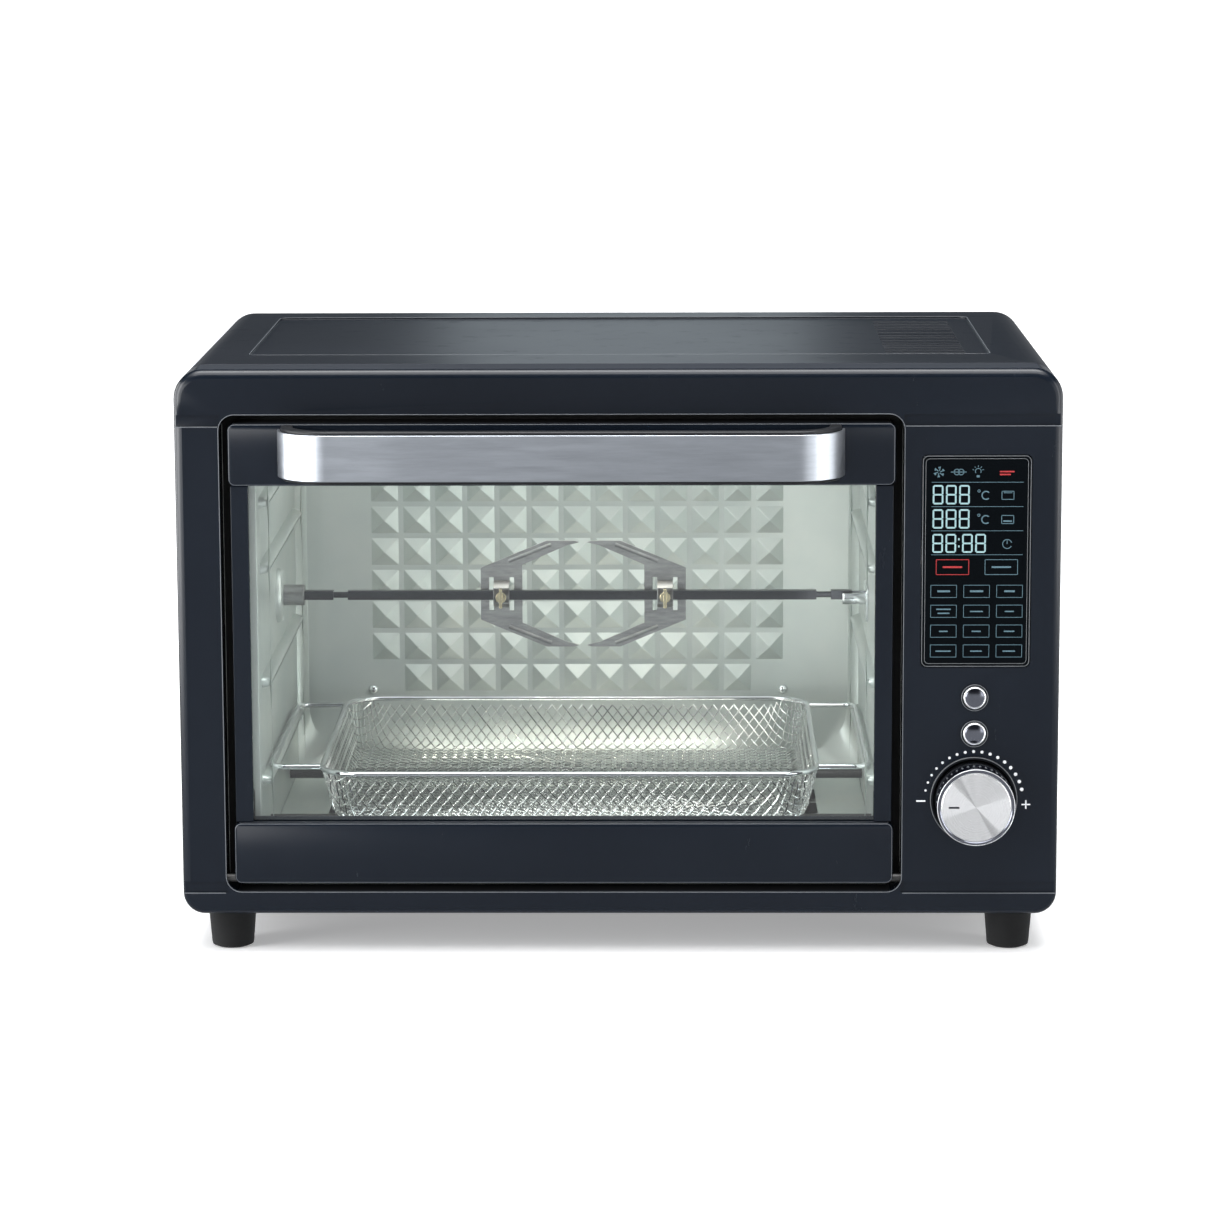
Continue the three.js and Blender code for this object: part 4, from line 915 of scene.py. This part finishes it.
def cavity():
    bm, face = side_wall("cavity_left_wall", 1)
    rod = middle("spit_rod")
    boss, rise = 17, 4
    pressed(bm, "X", face, rise, circle(rod.y, rod.z, boss, 40), 2.6)
    piece("wall_left", bm, COAT, "housing", ["cavity_left_wall"], angle=40)
    bm, face = side_wall("cavity_right_wall", -1)
    piece("wall_right", bm, COAT, "housing", ["cavity_right_wall"], angle=40)

    low, high = span("cavity_floor")
    bm = bmesh.new()
    face, margin, wide = low.z + SHEET, 30, 7
    prism(bm, "Z", low.z, face, rounded((low.x, low.y), (high.x, high.y), 0))
    for y in (70, 110, 150, 190):
        bead = rounded((low.x + margin, y), (high.x - margin, y + wide), 3.4, 6)
        pressed(bm, "Z", face, 1.5, bead, 2.6, 4)
    piece("floor_plate", bm, COAT, "housing", ["cavity_floor"], angle=40)
    refined("cavity_top", COAT, "housing", 0.2)
    refined("cavity_front_frame", COAT, "housing", 0.3)
    back_pan()
    heaters = [f"heater_{level}_{row}" for level in ("upper", "lower") for row in ("front", "rear")]
    for node in heaters:
        refined(node, HEATER, "housing", 0.3, angle=50)
    for side in ("left", "right"):
        low, high = span("back_screw_" + side)
        centre = (low + high) / 2
        dome = [(0, 0), (1.6, 0.25), (2.8, 0.9), (3.3, 1.8), (3.3, 2.2), (0, 2.2)]
        turned("screw_head_" + side, dome, (centre.x, low.y, centre.z), CHROME, "housing",
               ["back_screw_" + side], "Y", 24, 50)


def back_pan():
    """A pan with a wide soft slope to its flat, and rows of pyramids pressed out of the flat."""
    low, high = span("cavity_back")
    wall = span("cavity_left_wall")[0].x + SHEET, span("cavity_right_wall")[1].x - SHEET
    bm = bmesh.new()
    mouth = rounded((wall[0] + 6.5, low.z + 9.2), (wall[1] - 6.5, high.z - 4.2), 32, 10)
    pan = flat_face(bm, "Y", low.y, mouth)
    pan.normal_update()
    if pan.normal.y > 0:
        pan.normal_flip()
    rim = list(pan.edges)
    corners = rounded((low.x, low.z), (high.x, high.z), 0)
    outer = [bm.verts.new(point("Y", low.y, u, v)) for u, v in corners]
    border = [bm.edges.new((outer[k], outer[(k + 1) % 4])) for k in range(4)]
    slope = ((0.5, 0.15), (1.2, 0.9), (2.0, 2.2), (11.5, 9.9), (12.6, 11.1), (14.0, 11.75), (16.0, PAN_DEPTH))
    run = drop = 0.0
    for across, down in slope:
        step = {"thickness": across - run, "depth": drop - down}
        bmesh.ops.inset_region(bm, faces=[pan], use_even_offset=True, **step)
        run, drop = across, down
    bmesh.ops.bridge_loops(bm, edges=rim + border)
    sunk, middle_row = 2.4, 173
    pyramids(bm, Vector(((wall[0] + wall[1]) / 2, low.y + PAN_DEPTH - sunk, middle_row)))
    piece("back_panel", bm, COAT, "housing", ["cavity_back"], 0.5, 2, 28)


def pyramids(bm, centre):
    """Pyramids in rows about a centre, without the four at the corners."""
    pitch, base, rows, columns = 21, 18.6, 9, 13
    shape = {"segments": 4, "radius1": base / math.sqrt(2), "radius2": 0.5, "depth": 5}
    upright = Matrix.Rotation(math.pi / 2, 4, "X") @ Matrix.Rotation(math.pi / 4, 4, "Z")
    for row in range(rows):
        for column in range(columns):
            if row in (0, rows - 1) and column in (0, columns - 1):
                continue
            across, up = (column - (columns - 1) / 2) * pitch, (row - (rows - 1) / 2) * pitch
            made = bmesh.ops.create_cone(bm, cap_ends=True, **shape)
            place = Matrix.Translation(centre + Vector((across, 0, up))) @ upright
            bmesh.ops.transform(bm, matrix=place, verts=made["verts"])


# ---- Rotisserie
def rotisserie():
    refined("spit_rod", DARK_STEEL, "spit", 0.35, 2, 50)
    refined("drive_socket", FORK_STEEL, "spit", 0.4, 2, 50)
    spit_cradle()
    for side, body, screw in (("left", "fork_a", "screw_a"), ("right", "fork_b", "screw_b")):
        refined("fork_" + side, FORK_STEEL, body, 0.25, 2, 40)
        refined("thumb_screw_" + side, BRASS, screw, 0.35, 2, 50)
        fork_dressing(side, body)


def spit_cradle():
    """A plate on the right wall and a strip bent up into the J that the rod's end lies in."""
    low, high = span("spit_hook")
    rod = middle("spit_rod")
    plate = rounded((low.y, low.z), (high.y, high.z), 4, 6)
    bm = bmesh.new()
    prism(bm, "X", high.x - 1.4, high.x, plate)
    inner, thick, rise = 4.7, 1.6, 1.6

    def trough(radius):
        """Down one side, round under the rod and up the other."""
        turns = [math.pi * (1 + k / 14) for k in range(15)]
        round_part = [(radius * math.cos(turn), radius * math.sin(turn)) for turn in turns]
        return [(-radius, rise)] + round_part + [(radius, rise)]

    outline = trough(inner + thick) + trough(inner)[::-1]
    prism(bm, "X", low.x, high.x - 1.2, [(rod.y + u, rod.z + v) for u, v in outline])
    piece("cradle", bm, CHROME, "housing", ["spit_hook"], bevel=0.35, angle=50)


def fork_dressing(side, body):
    """The strap that bows over the rod, and the bead ribs pressed along both prongs."""
    low, high = span("fork_" + side)
    rod = middle("spit_rod")
    inward, outer = (1, low.x) if side == "left" else (-1, high.x)
    plate = high.y - 1.5
    x, half = outer + inward * 13, 4.9
    bend = [(plate, 8.5), (plate - 2.4, 8.2), (plate - 6.4, 6.0), (plate - 8.0, 4.2)]
    path = [(y, -z) for y, z in bend] + bend[::-1]
    inside = [(min(y + 1.1, plate), z * 0.84) for y, z in path]
    bm = bmesh.new()
    prism(bm, "X", x - half, x + half, [(y, rod.z + z) for y, z in path + inside[::-1]])
    piece("fork_strap_" + side, bm, STAMPED, body, bevel=0.3, angle=50)
    bm = bmesh.new()
    rib = ((17.5, 20.6), (19.5, 21.4), (42, 30.4), (44, 31.0))
    for up in (-1, 1):
        path = [(outer + inward * u, plate + 0.45, rod.z + up * v) for u, v in rib]
        wires(bm, [path], 1.3, detail=3)
    piece("fork_ribs_" + side, bm, FORK_STEEL, body, angle=80)


# ---- Basket
class Tray:
    """The basket's tray: a flat sheet whose edge bends up all round, at one lean, to the rim."""

    CORNER, BEND, LEAN = 26, 9.0, math.radians(76)

    def __init__(self, centre, half, floor, height):
        """Takes its centre and half its size at the rim, the level of its floor and its height."""
        self.centre, self.floor = centre, floor
        straight = (height - self.BEND * (1 - math.cos(self.LEAN))) / math.sin(self.LEAN)
        spread = self.BEND * math.sin(self.LEAN) + straight * math.cos(self.LEAN)
        self.corner = self.CORNER - spread
        self.flat = [side - spread - self.corner for side in half]
        self.length = self.BEND * self.LEAN + straight

    def past(self, u, v):
        """For a point of the flat sheet: the nearest one inside the corners, the way out, and how far past
        the bend's start it lies."""
        inside = Vector([max(-side, min(side, place)) for side, place in zip(self.flat, (u, v))])
        away = Vector((u, v)) - inside
        return inside, away, away.length - self.corner

    def place(self, u, v, lift):
        """Where a point of the flat sheet comes to lie, lifted off the sheet by a little."""
        inside, away, past = self.past(u, v)
        if past <= 0:
            return Vector((u, v, self.floor + lift)) + self.centre
        lean = min(past / self.BEND, self.LEAN)
        rest = max(past - self.BEND * self.LEAN, 0)
        run = self.BEND * math.sin(lean) + rest * math.cos(lean) - math.sin(lean) * lift
        rise = self.BEND * (1 - math.cos(lean)) + rest * math.sin(lean) + math.cos(lean) * lift
        out = inside + away.normalized() * (self.corner + run)
        return Vector((out.x, out.y, self.floor + rise)) + self.centre


def strand(tray, fixed, family, count, thin):
    """One wire of the weave, in the runs of it that lie on the tray."""
    across, along = 3.3, 4.2
    runs = [[]]
    for k in range(-count, count + 1):
        i, j = (fixed, k) if family else (k, fixed)
        u, v = (i - j) * across, (i + j) * along
        over = (1 if (i + j) % 2 else -1) * (1 if family else -1)
        if tray.past(u, v)[2] <= tray.length:
            runs[-1].append(tray.place(u, v, over * thin))
        elif runs[-1]:
            runs.append([])
    return [run for run in runs if len(run) > 2]


def basket():
    low, high = span("basket_frame")
    tray_low, tray_high = span("basket_mesh")
    wire, rim_z = (high.z - low.z) / 2, (low.z + high.z) / 2
    centre = (low + high) / 2
    half = (tray_high - tray_low) / 2
    thin, floor, count = 0.45, tray_low.z + 0.5, 110
    tray = Tray(Vector((centre.x, centre.y, 0)), half.xy, floor, rim_z - 0.6 - floor)
    for family, name in enumerate(("mesh_strands_rising", "mesh_strands_falling")):
        bm = bmesh.new()
        strands = (strand(tray, fixed, family, count, thin) for fixed in range(-count, count + 1))
        wires(bm, [run for runs in strands for run in runs], thin, detail=0)
        replaced = ["basket_mesh"] if family else ()
        piece(name, bm, WIRE, "basket", replaced, angle=80, merge=1e-6)

    bm = bmesh.new()
    rim = rounded((centre.x - half.x, centre.y - half.y), (centre.x + half.x, centre.y + half.y), 25, 12)
    hoop(bm, "Z", rim_z, rim, wire, 3)
    margin = 23 + wire
    front, rear = low.y + margin, high.y - margin
    reach, r, steps = (high.x - low.x) / 2 - wire, 8, 8
    for side in (-1, 1):
        outer, inner = centre.x + side * reach, centre.x + side * half.x
        turns = [math.pi / 2 * k / steps for k in range(steps + 1)]
        corner = [(outer - side * r * (1 - math.sin(turn)), r * (1 - math.cos(turn))) for turn in turns]
        wing = [(inner, front)] + [(x, front + y) for x, y in corner]
        wing += [(x, rear - y) for x, y in corner[::-1]] + [(inner, rear)]
        wires(bm, [[(x, y, rim_z) for x, y in wing]], wire, detail=3)
    piece("basket_wires", bm, CHROME, "basket", ["basket_frame"], angle=80)


# ---- What stays as the frame made it
def finish_inner_parts():
    kept = {
        "cord_gland": BLACK, "encoder_body": MOTOR, "encoder_plunger": BLACK, "knob_shaft": STEEL,
        "fan_motor": MOTOR, "rotisserie_motor": MOTOR, "display_board": BOARD, "power_board": BOARD,
        "lamp_holder": STEEL, "lamp_bulb": LENS, "lamp_lens": LENS, "fan_blade": FORK_STEEL,
        # The hinge pins take the dark heater finish so that they sink into the gap round the door: painted
        # shade.
        "hinge_pin_left": HEATER, "hinge_pin_right": HEATER,
    }
    for node, finish in kept.items():
        recoat(node, finish)


camera()
sky()
ground()
studio_lamps()
cavity_lamps()
casing()
rear_details()
casing_painted_highlights()
door_seal()
door()
display()
buttons()
knob()
cavity()
rotisserie()
basket()
finish_inner_parts()
